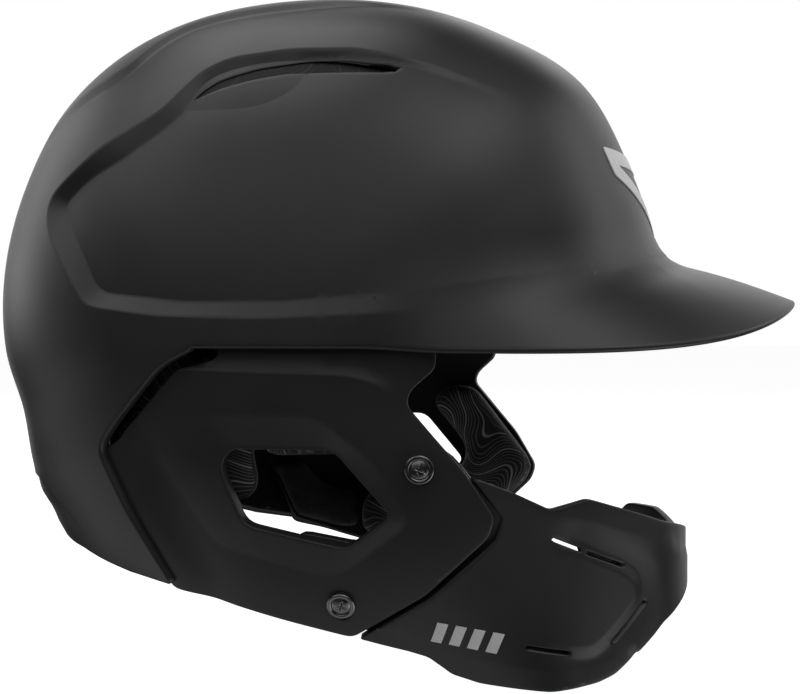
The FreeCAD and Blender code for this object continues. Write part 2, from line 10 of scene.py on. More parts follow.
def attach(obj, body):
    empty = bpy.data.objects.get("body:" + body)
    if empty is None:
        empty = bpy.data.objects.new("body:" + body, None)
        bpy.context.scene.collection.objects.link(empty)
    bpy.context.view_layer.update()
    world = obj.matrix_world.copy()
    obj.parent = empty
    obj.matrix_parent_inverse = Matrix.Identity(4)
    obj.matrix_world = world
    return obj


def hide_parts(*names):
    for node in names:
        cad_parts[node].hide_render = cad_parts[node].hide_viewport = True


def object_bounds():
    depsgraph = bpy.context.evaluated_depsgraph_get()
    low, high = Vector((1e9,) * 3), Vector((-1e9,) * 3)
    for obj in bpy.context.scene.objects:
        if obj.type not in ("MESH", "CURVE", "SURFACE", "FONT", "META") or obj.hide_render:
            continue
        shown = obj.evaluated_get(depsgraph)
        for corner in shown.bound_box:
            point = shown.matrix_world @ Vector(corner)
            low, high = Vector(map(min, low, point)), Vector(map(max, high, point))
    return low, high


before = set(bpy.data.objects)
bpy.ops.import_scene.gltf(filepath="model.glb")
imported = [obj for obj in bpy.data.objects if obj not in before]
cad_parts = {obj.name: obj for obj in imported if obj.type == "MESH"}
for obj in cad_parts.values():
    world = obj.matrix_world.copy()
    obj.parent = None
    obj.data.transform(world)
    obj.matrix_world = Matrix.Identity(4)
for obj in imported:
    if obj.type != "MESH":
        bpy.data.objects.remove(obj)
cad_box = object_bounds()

# Batting helmet with a right-hand jaw guard.  Shapes are worked out in millimetres, in the
# frame of the CAD model, and become metres when a mesh is made.
MM = 0.001

# ---- the dome, as in the CAD model ----
HALF_WIDTH = 102.0
DOME_POWER = 2.5
FRONT_RADIUS = 121.0
PROFILE = [(-90, 132), (-60, 136), (-30, 118), (0, FRONT_RADIUS), (30, 126.6), (45, 131.4),
           (60, 128), (90, 124), (120, 126.5), (135, 125.5), (150, 121), (180, 113.2),
           (192, 108.6), (203, 111), (208, 113.2), (213, 112.5), (216, 112.7), (228, 115), (240, 116),
           (270, 132)]
SHELL_WALL = 4.2
BASE_LEVEL = 1.8
SKIRT_LEVELS = [(112.6, -74.4), (122.9, -71.9), (136.6, -65.9), (180, -59.4)]   # by azimuth

BILL_LENGTH = 45.6
BILL_SPREAD = 76.0
BILL_WALL = 2.8
BILL_EDGE_LEVEL = 0.7
BILL_ARCH = 16.0
BILL_ARCH_SPREAD = 23.0
BILL_CAMBER = 1.2
CREASE_LEVELS = [(0, 31), (20, 29), (32, 26), (51, 22), (66, 18), (BILL_SPREAD, 15), (180, 15)]
BLADE_BLEND = (60.0, 74.0)    # the bill's blade turns into the dome's side between these azimuths
ROOT_FILLET = 3.4             # how far the fillet at the bill's root stands out
ROOT_REACH = 12.0             # how far it reaches up the forehead and out along the bill

# Lengths along the shell from the crown, which set its flat chart.
CHART_DOME = 160.0
CHART_SIDE_BAND = 16.0
CHART_BILL_BAND = 36.0
CHART_SKIRT = 76.0
CHART_STEP = 2.0

PANEL_DEPTH = 3.0
PANEL_FADE = (-15.0, 80.0)
PANEL_STEP = [(-77, 43.5), (-76, 50), (-57, 65), (-37, 76.5), (-26, 91), (-17, 95.6), (2, 97.8),
              (25, 96.5), (49, 90), (69, 82), (90, 72), (98, 50), (98, 22), (60, 14), (43, 12),
              (22, 11), (-1, 10), (-34, 11), (-57, 14), (-60, 16), (-75, 37)]
PANEL_FLOOR = [(-72.3, 47.5), (-66, 53.4), (-59, 57.5), (-50, 61.5), (-39, 69), (-32, 76), (-25, 87),
               (-20, 90.2), (-7, 93.8), (9, 95.4), (20, 95), (36, 92.4), (59, 84), (84, 72), (90, 50),
               (90, 27), (72, 22), (43, 18), (7, 15), (-25, 15), (-53, 18), (-57, 21), (-62, 30),
               (-69, 41)]
VENT = [(-29, 81), (-24, 86.3), (-19, 89.4), (-7, 93), (9, 94.8), (20, 94.4), (37, 91.6), (41, 89.4),
        (37, 87.6), (20, 89.2), (9, 90), (2, 89.9), (-10, 87.8), (-20, 85)]
SPINE_WALL = [(-112, 40), (-95, 50), (-80, 56), (-57, 64), (-50, 56), (-40, 47), (-24, 46), (0, 44),
              (30, 40), (60, 34)]
SPINE_DEPTH = 2.2
SPINE_WALL_WIDTH = 3.2
SPINE_FADE = (-10.0, 50.0)    # the step dies out towards the front, and towards the rim
SPINE_RISE = (62.0, 92.0)
SCOOP_DEPTH = 4.0             # hollow down the middle of the back, with a ledge at its lower end
SCOOP_TOP = 2.0
SCOOP_HEIGHT = 37.0
SCOOP_LEDGE = (-37.5, -39.7)
SCOOP_SIDE = (36.0, 48.0)
RECESS_START = 131.0          # azimuth at which the recess across the back begins
RECESS_DEPTH = 0.9
RECESS_WALL = 1.6             # height of its upper slope
RECESS_FOOT = (-54.0, -60.5)
RECESS_END = 3.0
OPENING = [(57, BASE_LEVEL), (-21, 1.6), (-32.5, -4), (-51, -24), (-56, -31), (-47.5, -50),
           (-34.8, -74.4)]

# ---- flaps ----
FLAP_INSET = 5.2
FLAP_WALL = 3.0
FLAP_FLATTEN = 0.38
FLAP_FLATTEN_START = 10.0
FLAP_FLATTEN_DEPTH = 40.0
TAB_INSET = 8.4
TAB_WALL = 3.0
FLAP = [(52, 9), (-14, 9), (-15, -2.3), (-28, -5.4), (-45.7, -24.2), (-48.5, -28.5), (-54.5, -30.8),
        (-46.3, -50), (-33.5, -75.2), (-13, -81.3), (3, -85.5), (24, -90.8), (48, -76), (68, -57),
        (70, -51), (61.3, -36.9), (43.6, -16.2), (44.8, -12), (52.5, -5.2)]
EAR_HOLE = [(-11, -30), (21.6, -30), (38.9, -50), (25, -60.5), (-7, -53.6), (-14, -36)]
FLAP_REAR_EDGE = [(-54.5, -30.8), (-46.3, -50), (-33.5, -75.2)]
FLAP_REAR_RISE = 2.6          # how much the flap comes up to meet the shell along that edge
FLAP_REAR_REACH = 16.0
FLAP_RIDGE = [(-27, -5.5), (25, -7), (33, -8.8), (39, -12)]
FLAP_RIDGE_STEP = 0.9
FLAP_RIDGE_WIDTH = 1.6
FLAP_RIDGE_FADE = (30.0, 42.0)
FLAP_MOUND = [(-24, -19.8), (16, -19.8), (34, -34), (45, -52), (34, -60.5), (22.5, -69), (17, -70),
              (-17.5, -61), (-36, -33)]
FLAP_MOUND_RISE = 1.3
GUARD_SCREWS = [(48.2, -36.0), (21.8, -81.0)]
SCREW_HOLE = 3.0
TAB = [(41, -27), (56, -30), (68, -46), (74, -52), (71.5, -61.5), (53, -80), (34, -89.5), (14, -87),
       (8, -70), (8, -56), (30, -60), (42, -47)]

# ---- jaw guard ----
GUARD_WALL = 3.5
GUARD_PLAN = [(14, -88.4), (34, -87.8), (52, -86), (70, -82.4), (88, -76.4), (104, -68), (118, -56),
              (126, -42), (129.3, -26), (126.5, -8), (119, 8), (107, 21)]
GUARD_MID_LEVEL = -70.0
GUARD_SIDE_TOP = [(71.3, -51), (62, -38.5), (75.5, -43.8), (86.4, -49.2), (98, -46.2)]
GUARD_FRONT_TOP = [(-52, -55), (-27, -60), (-8, -62), (6, -57.5), (17, -57.5), (20, -61)]
GUARD_FRONT_LOW = [(19, -72), (14, -76), (0, -79), (-27, -79), (-52, -88)]
GUARD_SIDE_LOW = [(106, -102), (101, -104), (87, -106.4), (66, -106.2), (57, -104.2), (49, -97.8),
                  (26, -91.8), (49.5, -77), (69.3, -58)]
GUARD_SLOT = ((86.5, -58.2), (96.2, -62.4), 1.0)
GUARD_GROOVES = [((97, -62.8), (109.2, -68.1), 1.5), ((116.2, -79.7), (105.5, -92), 1.9),
                 ((79, -92), (92.6, -94.2), 1.6)]
GROOVE_DEPTH = 2.3
GROOVE_FLOOR = 0.5            # wall left below a groove
ISLAND = [(93, -63), (110, -71.5), (112, -75), (111.8, -79), (103, -89), (98.5, -92.8), (92, -91.5)]
ISLAND_STEP = 1.1             # how far the face falls away around the island
ISLAND_SLOPE = 4.0            # width of that slope, and beyond it how soon the face rises again
ISLAND_FAR = 9.0
ISLAND_START = 84.0           # the step begins here and is complete this much further on
ISLAND_RUN = 14.0
FLANGE = [(60, -41), (84, -50.5), (99, -53.5), (118, -60)]
FLANGE_TILT, FLANGE_REACH = 0.05, 12
KEEL = [(52, -93), (66, -97), (88, -100), (106, -97)]
KEEL_TILT, KEEL_REACH = 0.09, 10
GUARD_FREE = (45.0, 95.0)     # between these the guard lets go of the flap's curve

HALVINGS = 34                 # steps of a search for a point on the dome
PLATE_ROUNDING = 0.45


# ---- numbers on arrays ----

def smooth(t):
    t = np.clip(t, 0.0, 1.0)
    return t * t * (3 - 2 * t)


def fade(value, start, end):
    """0 at start and before it, 1 at end and beyond."""
    return smooth((value - start) / (end - start))


def unit(v):
    return v / np.maximum(np.linalg.norm(v, axis=-1, keepdims=True), 1e-12)


def columns(*values):
    return np.stack(values, -1)


def around(angle):
    return columns(np.cos(angle), np.sin(angle))


def cubic(t, start, end, start_slope, end_slope):
    """Smooth curve from start to end, with these slopes there, as t goes from 0 to 1."""
    return ((2 * t**3 - 3 * t**2 + 1) * start + (t**3 - 2 * t**2 + t) * start_slope
            + (3 * t**2 - 2 * t**3) * end + (t**3 - t**2) * end_slope)


def profile_radius(direction):
    """Radius of the dome in the plane of symmetry."""
    angles, radii = np.array(PROFILE, float).T
    ahead_angle, ahead = np.r_[angles[1:], angles[1] + 360], np.r_[radii[1:], radii[1]]
    back_angle, back = np.r_[angles[-2] - 360, angles[:-1]], np.r_[radii[-2], radii[:-1]]
    slopes = (ahead - back) / (ahead_angle - back_angle)
    direction = (direction + 90) % 360 - 90
    i = np.clip(np.searchsorted(angles, direction, side="right") - 1, 0, len(angles) - 2)
    span = angles[i + 1] - angles[i]
    t = (direction - angles[i]) / span
    return cubic(t, radii[i], radii[i + 1], slopes[i] * span, slopes[i + 1] * span)


def dome_along(rays):
    """Points of the dome along directions from the head centre."""
    rays = unit(rays)
    middle = np.hypot(rays[..., 0], rays[..., 2])
    reach = profile_radius(np.degrees(np.arctan2(rays[..., 2], rays[..., 0])))
    across = (np.abs(rays[..., 1]) / HALF_WIDTH) ** DOME_POWER
    return rays * ((across + (middle / reach) ** DOME_POWER) ** (-1 / DOME_POWER))[..., None]


def dome_point(azimuth, elevation):
    a, e = np.radians(azimuth), np.radians(elevation)
    return dome_along(columns(np.cos(e) * np.cos(a), np.cos(e) * np.sin(a), np.sin(e)))


def half_width(x, z):
    """Distance of the dome from the plane of symmetry."""
    ratio = np.minimum(0.95, np.hypot(x, z) / profile_radius(np.degrees(np.arctan2(z, x))))
    return HALF_WIDTH * (1 - ratio ** DOME_POWER) ** (1 / DOME_POWER)


def flap_half_width(x, z):
    squeeze = 1 - FLAP_FLATTEN * smooth(-z / FLAP_FLATTEN_DEPTH)
    start = FLAP_FLATTEN_START
    return half_width(np.where(x > start, start + (x - start) * squeeze, x), z)


def halved(shape, low, high, too_low):
    """Values between low and high at which too_low turns false."""
    low, high = np.full(shape, low), np.full(shape, high)
    for _ in range(HALVINGS):
        middle = (low + high) / 2
        under = too_low(middle)
        low, high = np.where(under, middle, low), np.where(under, high, middle)
    return (low + high) / 2


def out_to_dome(points, axis):
    """The points moved along an axis until they lie on the dome."""
    points = np.array(points, float)

    def within(place):
        points[:, axis] = place
        x, y, z = points.T
        reach = profile_radius(np.degrees(np.arctan2(z, x)))
        return (np.abs(y) / HALF_WIDTH) ** DOME_POWER + (np.hypot(x, z) / reach) ** DOME_POWER < 1

    points[:, axis] = halved(len(points), 0.0, 140.0, within)
    return points


def elevation_at(azimuth, level):
    """Elevation at which the dome has a height."""
    return halved(np.shape(azimuth), -62.0, 86.0, lambda e: dome_point(azimuth, e)[..., 2] < level)


def dome_at(azimuth, level):
    return dome_point(azimuth, elevation_at(azimuth, level))


# ---- lines in a flat chart ----

def rounded(outline, radius, closed=True, steps=5):
    """The line with its corners replaced by arc-like curves."""
    result = []
    count = len(outline)
    for i, corner in enumerate(np.array(outline, float)):
        if not closed and i in (0, count - 1):
            result.append(corner)
            continue
        legs = []
        for other in (outline[i - 1], outline[(i + 1) % count]):
            leg = np.array(other, float) - corner
            length = np.hypot(*leg)
            legs.append(leg * (min(radius, length * 0.45) / length))
        for t in np.linspace(0, 1, steps):
            result.append(corner + legs[0] * (1 - t) ** 2 + legs[1] * t ** 2)
    return np.array(result)


def sampled(line, step, closed=True):
    """Points along the line, its own corners among them."""
    line = np.array(line, float)
    ends = np.roll(line, -1, 0) if closed else line[1:]
    result = []
    for a, b in zip(line, ends):
        count = max(1, int(round(np.hypot(*(b - a)) / step)))
        result += [a + (b - a) * k / count for k in range(count)]
    if not closed:
        result.append(line[-1])
    result = np.array(result)
    keep = np.hypot(*(result - np.roll(result, 1, 0)).T) > step * 0.3
    keep[0] = True
    keep[-1] |= not closed
    return result[keep]


def shifted(line, distance, closed=True):
    """The line moved to its left."""
    ahead, back = np.roll(line, -1, 0), np.roll(line, 1, 0)
    if not closed:
        ahead[-1], back[0] = line[-1], line[0]
    along = unit(ahead - back)
    return line + columns(-along[:, 1], along[:, 0]) * distance


def area(line):
    x, y = np.array(line, float).T
    return 0.5 * np.sum(x * np.roll(y, -1) - np.roll(x, -1) * y)


def anticlockwise(line):
    line = np.array(line, float)
    return line if area(line) > 0 else line[::-1]


def inside(points, loop):
    result = np.zeros(len(points), bool)
    x, y = points.T
    for (x0, y0), (x1, y1) in zip(loop, np.roll(loop, -1, 0)):
        if y0 != y1:
            crosses = (y0 > y) != (y1 > y)
            result ^= crosses & (x < x0 + (y - y0) * (x1 - x0) / (y1 - y0))
    return result


def line_distance(points, line, closed=True):
    """Distance of points from a line, and on which side they lie: above 0 to its left."""
    line = np.array(line, float)
    ends = np.roll(line, -1, 0) if closed else line[1:]
    best = np.full(len(points), 1e9)
    side = np.zeros(len(points))
    for a, b in zip(line, ends):
        leg = b - a
        t = np.clip(((points - a) @ leg) / max(leg @ leg, 1e-12), 0, 1)
        off = points - a - t[:, None] * leg
        distance = np.hypot(*off.T)
        nearer = distance < best
        best = np.where(nearer, distance, best)
        turn = leg[0] * off[:, 1] - leg[1] * off[:, 0]
        side = np.where(nearer, np.sign(turn), side)
    return best, side


def left_of(points, line):
    """How far points lie to the left of an open line."""
    distance, side = line_distance(points, line, False)
    return distance * side


def ramp(points, outer, inner):
    """0 outside the outer loop, 1 inside the inner one, and even in between."""
    from_outer, from_inner = (line_distance(points, loop)[0] for loop in (outer, inner))
    share = from_outer / np.maximum(from_outer + from_inner, 1e-9)
    return np.where(inside(points, inner), 1.0, np.where(inside(points, outer), share, 0.0))


def slot_outline(start, end, width):
    a, b = np.array(start, float), np.array(end, float)
    side = np.array([a[1] - b[1], b[0] - a[0]])
    side *= width / 2 / np.hypot(*side)
    return np.array([a - side, b - side, b + side, a + side])


def tree(points):
    """The points, ready for a search for the nearest."""
    result = KDTree(len(points))
    for i, p in enumerate(points):
        result.insert((*p, 0), i)
    result.balance()
    return result


def without_slivers(flat, faces):
    """Drops the flat triangles that three points of a straight border make."""
    ends = np.roll(faces, -1, 1)
    keys = np.minimum(faces, ends) * len(flat) + np.maximum(faces, ends)
    _, place, count = np.unique(keys, return_inverse=True, return_counts=True)
    outer_edges = (count[place.reshape(keys.shape)] == 1).sum(1)
    sides = flat[ends] - flat[faces]
    longest = np.hypot(sides[..., 0], sides[..., 1]).max(1)
    height = np.abs(sides[:, 0, 0] * sides[:, 1, 1] - sides[:, 0, 1] * sides[:, 1, 0]) / longest
    return faces[(height > 0.03) | (outer_edges < 2)]


def triangles(outline, holes, creases, step, fine, edge):
    """Points and triangles of a flat region.  Points lie fine apart along its edges and creases,
    and step apart elsewhere.  creases are (line, closed) or (line, closed, offsets of the rows of
    points beside it).  The edges are drawn in by edge."""
    loops = [shifted(sampled(anticlockwise(outline), fine), edge)]
    loops += [shifted(sampled(anticlockwise(h), fine), -edge) for h in holes]
    points, edges = [], []
    for loop in loops:
        start = len(points)
        points += list(loop)
        edges += [(start + i, start + (i + 1) % len(loop)) for i in range(len(loop))]

    def within(array):
        result = inside(array, loops[0])
        for loop in loops[1:]:
            result &= ~inside(array, loop)
        return result

    for line, closed, *rows in creases:
        line = sampled(line, fine, closed)
        placed = tree(points)
        for offset in rows[0] if rows else (0, 0.8, -0.8):
            moved = shifted(line, offset, closed) if offset else line
            previous = None
            for p, good in zip(moved, within(moved)):
                if not good or placed.find((*p, 0))[2] < fine * 0.45:
                    previous = None
                    continue
                points.append(p)
                index = len(points) - 1
                if previous is not None and offset == 0:
                    edges.append((previous, index))
                previous = index
    placed = tree(points)
    for loop, side in zip(loops, [1] + [-1] * len(holes)):
        ring = shifted(loop, side)
        points += [p for p in ring[within(ring)] if placed.find((*p, 0))[2] > 0.65]
    placed = tree(points)
    low, high = loops[0].min(0), loops[0].max(0)
    levels = np.arange(low[1], high[1] + step, step * 0.866)
    grid = np.array([(x + (k % 2) * step / 2, y) for k, y in enumerate(levels)
                     for x in np.arange(low[0], high[0] + step, step)])
    points += [p for p in grid[within(grid)] if placed.find((*p, 0))[2] > step * 0.62]
    flat, _, faces, *_ = delaunay_2d_cdt([Vector(p) for p in points], edges, [], 0, 1e-5)
    flat = np.array([tuple(v) for v in flat])
    faces = np.array([f for f in faces if len(f) == 3])
    faces = without_slivers(flat, faces[within(flat[faces].mean(1))])
    corner = flat[faces]
    turned = np.cross(corner[:, 1] - corner[:, 0], corner[:, 2] - corner[:, 0]) < 0
    faces[turned] = faces[turned][:, ::-1]
    used = np.unique(faces)
    renumber = np.zeros(len(flat), int)
    renumber[used] = np.arange(len(used))
    return flat[used], renumber[faces]


# ---- meshes ----

def vertex_normals(points, faces, smoothing=0):
    a, b, c = (points[faces[:, k]] for k in range(3))
    normals = np.zeros_like(points)
    for k in range(3):
        np.add.at(normals, faces[:, k], np.cross(b - a, c - a))
    normals = unit(normals)
    for _ in range(smoothing):
        total = normals.copy()
        for k in range(3):
            np.add.at(total, faces[:, k], normals[faces[:, (k + 1) % 3]] + normals[faces[:, (k + 2) % 3]])
        normals = unit(total)
    return normals


def thicken(outer, inner, faces, radius=0.8, steps=3):
    """Closed mesh between two sheets with the same faces, with a rounded edge all round."""
    normals = vertex_normals(outer, faces)
    pairs = dict.fromkeys(pair for a, b, c in faces for pair in ((a, b), (b, c), (c, a)))
    border = [(a, b) for a, b in pairs if (b, a) not in pairs]
    rim = sorted({a for a, _ in border})
    place = {v: i for i, v in enumerate(rim)}
    out = np.zeros((len(rim), 3))
    for a, b in border:
        along = outer[b] - outer[a]
        side = np.cross(along, normals[a] + normals[b])
        out[place[a]] += side
        out[place[b]] += side
    out = unit(out)
    top, bottom = outer[rim], inner[rim]
    depth = np.linalg.norm(bottom - top, axis=1, keepdims=True)
    down = (bottom - top) / np.maximum(depth, 1e-9)
    bend = np.minimum(radius, depth / 2)
    angles = np.linspace(0, pi / 2, steps + 1)[1:]
    rings = [top + out * bend * sin(a) + down * bend * (1 - cos(a)) for a in angles]
    rings += [bottom + out * bend * sin(a) - down * bend * (1 - cos(a)) for a in angles[::-1]]
    count = len(outer)
    all_faces = [tuple(f) for f in faces] + [tuple(f[::-1] + count) for f in faces]
    rows = [{v: v for v in rim}]
    rows += [{v: 2 * count + k * len(rim) + place[v] for v in rim} for k in range(len(rings))]
    rows.append({v: v + count for v in rim})
    for upper, lower in zip(rows, rows[1:]):
        all_faces += [(upper[b], upper[a], lower[a], lower[b]) for a, b in border]
    return np.vstack([outer, inner] + rings), all_faces


def mirrored_sheet(points, faces, on_plane):
    """The sheet and its mirror image across Y = 0, joined where on_plane is true."""
    count = len(points)
    twin = np.arange(count)
    others = np.flatnonzero(~on_plane)
    twin[others] = count + np.arange(len(others))
    image = points[others] * (1, -1, 1)
    return np.vstack([points, image]), np.vstack([faces, twin[faces][:, ::-1]])


def add_object(name, vertices, faces, material=None):
    """A new mesh object from points in millimetres."""
    mesh = bpy.data.meshes.new(name)
    mesh.from_pydata([tuple(v) for v in np.asarray(vertices) * MM], [],
                     [tuple(int(i) for i in f) for f in faces])
    mesh.validate()
    mesh.shade_smooth()
    piece = bpy.data.objects.new(name, mesh)
    bpy.context.scene.collection.objects.link(piece)
    if material:
        mesh.materials.append(material)
    return piece


def settle(piece, slot, *nodes):
    """The piece rides with the helmet and stands for the nodes, which it hides.  slot is not used."""
    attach(piece, "root")
    if nodes:
        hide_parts(*nodes)
    return piece


# ---- materials ----

class Nodes:
    """A material's node tree, with short ways to add to it."""

    def __init__(self, name, **sockets):
        self.material = bpy.data.materials.new(name)
        self.material.use_nodes = True
        self.tree = self.material.node_tree
        self.shader = self.tree.nodes["Principled BSDF"]
        for key, value in sockets.items():
            self.shader.inputs[key.replace("_", " ").title().replace("Ior", "IOR")].default_value = value

    def add(self, kind, *inputs, **settings):
        node = self.tree.nodes.new(kind)
        for key, value in settings.items():
            setattr(node, key, value)
        for index, value in enumerate(inputs):
            self.feed(node.inputs[index], value)
        return node

    def feed(self, socket, value):
        if isinstance(value, bpy.types.Node):
            value = value.outputs[0]
        if isinstance(value, bpy.types.NodeSocket):
            self.tree.links.new(value, socket)
        else:
            socket.default_value = value

    def math(self, operation, *values):
        return self.add("ShaderNodeMath", *values, operation=operation)

    def place(self):
        return self.add("ShaderNodeTexCoord").outputs["Object"]

    def noise(self, scale, detail=3.0, place=None, roughness=0.5):
        node = self.add("ShaderNodeTexNoise")
        self.feed(node.inputs["Vector"], place or self.place())
        for key, value in (("Scale", scale), ("Detail", detail), ("Roughness", roughness)):
            node.inputs[key].default_value = value
        return node.outputs[0]

    def range(self, *values):
        """A value carried from one range (low, high) to another."""
        return self.add("ShaderNodeMapRange", *values).outputs[0]

    def mix(self, factor, a, b):
        node = self.add("ShaderNodeMix", data_type="RGBA")
        for index, value in ((0, factor), (6, a), (7, b)):
            self.feed(node.inputs[index], value)
        return node.outputs[2]

    def tones(self, value, low, high, dark, light):
        """Greys from dark to light as the value goes from low to high."""
        return self.mix(self.range(value, low, high, 0.0, 1.0), grey(dark), grey(light))

    def cells(self, scale, place=None, feature="F1"):
        """Distance from the middles, or from the edges, of small cells."""
        node = self.add("ShaderNodeTexVoronoi", feature=feature)
        self.feed(node.inputs["Vector"], place or self.place())
        node.inputs["Scale"].default_value = scale
        return node.outputs["Distance"]

    def finish(self, height, strength, distance, **links):
        """The material, with a bump from the height and with these links to its shader."""
        bump = self.add("ShaderNodeBump")
        for key, value in (("Strength", strength), ("Distance", distance), ("Height", height)):
            self.feed(bump.inputs[key], value)
        for key, value in dict(links, normal=bump).items():
            self.feed(self.shader.inputs[key.replace("_", " ").title()], value)
        return self.material


def grey(level):
    return (level, level, level, 1.0)


def moulded_plastic(name, level, roughness, grain_scale, grain_depth):
    """Matte moulded plastic: a fine spark-eroded grain, and slight waves in its gloss."""
    n = Nodes(name, specular_ior_level=0.5)
    place = n.place()
    grain = n.noise(grain_scale, 2.0, place)
    cloud = n.noise(35.0, 3.0, place)
    colour = n.tones(cloud, 0.35, 0.65, level * 0.9, level * 1.12)
    both = n.math("ADD", n.math("MULTIPLY", cloud, 0.6), n.math("MULTIPLY", grain, 0.4))
    gloss = n.range(both, 0.3, 0.7, roughness - 0.03, roughness + 0.04)
    return n.finish(grain, 0.35, grain_depth, base_color=colour, roughness=gloss)


def contour_fabric(name, ground, line, bright):
    """Knitted fabric printed with contour lines, like those of a map."""
    n = Nodes(name, roughness=0.85, sheen_weight=0.15, sheen_roughness=0.5)
    place = n.place()
    scale, step, levels = 24.0, 0.0005, 72.0
    warp = n.noise(180.0, 1.0, place)

    def height(offset):
        moved = n.add("ShaderNodeVectorMath", place, offset, operation="ADD").outputs[0]
        return n.noise(scale, 1.0, moved, 0.35)

    here = height((0, 0, 0))
    rises = []
    for offset in ((step, 0, 0), (0, step, 0), (0, 0, step)):
        rise = n.math("SUBTRACT", height(offset), here)
        rises.append(n.math("MULTIPLY", rise, rise))
    slope = n.math("SQRT", n.math("ADD", n.math("ADD", rises[0], rises[1]), rises[2]))
    slope = n.math("MAXIMUM", n.math("MULTIPLY", slope, levels / step), 60.0)
    climb = n.math("ADD", n.math("MULTIPLY", here, levels), n.math("MULTIPLY", warp, 0.22))

    def lines(value, width, gradient):
        away = n.math("ABSOLUTE", n.math("SUBTRACT", n.math("FRACT", value), 0.5))
        reach = n.math("DIVIDE", away, gradient)
        return n.range(reach, width * 0.4, width, 1.0, 0.0)

    fine = lines(climb, 0.00024, slope)
    bold = lines(n.math("DIVIDE", climb, 5.0), 0.00034, n.math("DIVIDE", slope, 5.0))
    knit = n.cells(1900.0, place)
    base = n.tones(knit, 0.1, 0.7, ground * 1.35, ground * 0.6)
    printed = n.mix(n.math("MULTIPLY", fine, 0.75), base, grey(line))
    printed = n.mix(bold, printed, grey(bright))
    return n.finish(knit, 0.5, 0.0002, base_color=printed)


def plain_fabric(name, level):
    """Tightly knitted edge fabric, without print."""
    n = Nodes(name, roughness=0.9, sheen_weight=0.3, sheen_roughness=0.4)
    knit = n.cells(1500.0)
    colour = n.tones(knit, 0.1, 0.7, level * 1.3, level * 0.6)
    return n.finish(knit, 0.6, 0.00025, base_color=colour)


def bead_foam(name, level):
    """Expanded bead foam: pressed cells with thin seams, slightly uneven in tone."""
    n = Nodes(name, roughness=0.75)
    place = n.place()
    seam = n.range(n.cells(330.0, place, "DISTANCE_TO_EDGE"), 0.0, 0.12, 0.0, 1.0)
    tone = n.range(n.cells(330.0, place), 0.0, 0.8, level * 0.8, level * 1.3)
    colour = n.mix(seam, grey(level * 0.45), n.add("ShaderNodeCombineColor", tone, tone, tone))
    return n.finish(seam, 0.5, 0.0003, base_color=colour)


def soft_foam(name, level):
    """Open-cell cut foam."""
    n = Nodes(name, roughness=0.95)
    pores = n.noise(1400.0, 2.0)
    colour = n.tones(pores, 0.35, 0.65, level * 0.5, level * 1.3)
    return n.finish(pores, 0.7, 0.0004, base_color=colour)


def metal(name, level, roughness):
    n = Nodes(name, metallic=1.0)
    marks = n.noise(500.0, 4.0)
    colour = n.tones(marks, 0.3, 0.7, level * 0.8, level * 1.15)
    gloss = n.range(marks, 0.3, 0.7, roughness - 0.05, roughness + 0.08)
    return n.finish(marks, 0.1, 0.0001, base_color=colour, roughness=gloss)


def printed_mark(name, level):
    """Satin ink of a heat transfer, with a faint weave of the carrier film."""
    n = Nodes(name)
    grain = n.noise(900.0, 2.0)
    colour = n.tones(grain, 0.3, 0.7, level * 0.93, level * 1.05)
    return n.finish(grain, 0.15, 0.0001, base_color=colour,
                    roughness=n.range(grain, 0.3, 0.7, 0.4, 0.5))


def hook_nylon(name):
    n = Nodes(name, roughness=0.6)
    height = n.cells(900.0)
    colour = n.tones(height, 0.1, 0.6, 0.06, 0.012)
    return n.finish(height, 0.9, 0.0006, base_color=colour)


SHELL_PLASTIC = moulded_plastic("shell_plastic", 0.015, 0.44, 2600.0, 0.00006)
FLAP_PLASTIC = moulded_plastic("flap_plastic", 0.014, 0.46, 2600.0, 0.00007)
GUARD_PLASTIC = moulded_plastic("guard_plastic", 0.015, 0.45, 2400.0, 0.00007)
PAD_FABRIC = contour_fabric("pad_fabric", 0.01, 0.13, 0.24)
EDGE_FABRIC = plain_fabric("edge_fabric", 0.022)
LINER_FOAM = bead_foam("liner_foam", 0.02)
LINER_PRINT = contour_fabric("liner_print", 0.01, 0.11, 0.2)
# Darker copy of the liner print for the crown liner: painted shade for the crown, which is seen in the
# shadow inside the vent.
CROWN_PRINT_PAINTED_SHADE = contour_fabric("crown_print_painted_shade", 0.004, 0.014, 0.024)
EAR_FOAM_MATERIAL = soft_foam("ear_foam", 0.012)
BLACK_STEEL = metal("black_steel", 0.2, 0.3)
ZINC_STEEL = metal("zinc_steel", 0.55, 0.35)
MARK_GREY = printed_mark("mark_grey", 0.7)
HOOK_NYLON = hook_nylon("hook_nylon")


# ---- outer shell ----

def level_at(azimuth, levels):
    return np.interp(np.abs(azimuth), *zip(*levels))


def bill_share(azimuth):
    """1 at the middle of the bill and 0 where it has died into the side."""
    return np.cos(np.radians(np.clip(90 * np.abs(azimuth) / BILL_SPREAD, 0, 90))) ** 2


def blade_share(azimuth):
    return 1 - fade(np.abs(azimuth), *BLADE_BLEND)


def chart_band(azimuth):
    """Length from crease to edge, over the bill or beside it."""
    return CHART_SIDE_BAND + CHART_BILL_BAND * bill_share(azimuth)


def chart_radius(azimuth, part):
    """Distance from the chart's middle.  part runs 0-1 over the dome, 1-2 over the bill or the
    band beside it, and 2-3 over the skirt."""
    return (CHART_DOME * np.minimum(part, 1) + chart_band(azimuth) * np.clip(part - 1, 0, 1)
            + CHART_SKIRT * np.clip(part - 2, 0, 1))


def chart_point(azimuth, part):
    return around(np.radians(azimuth)) * chart_radius(azimuth, part)[..., None]


def azimuth_of(points):
    return np.degrees(np.arctan2(points[..., 1], points[..., 0]))


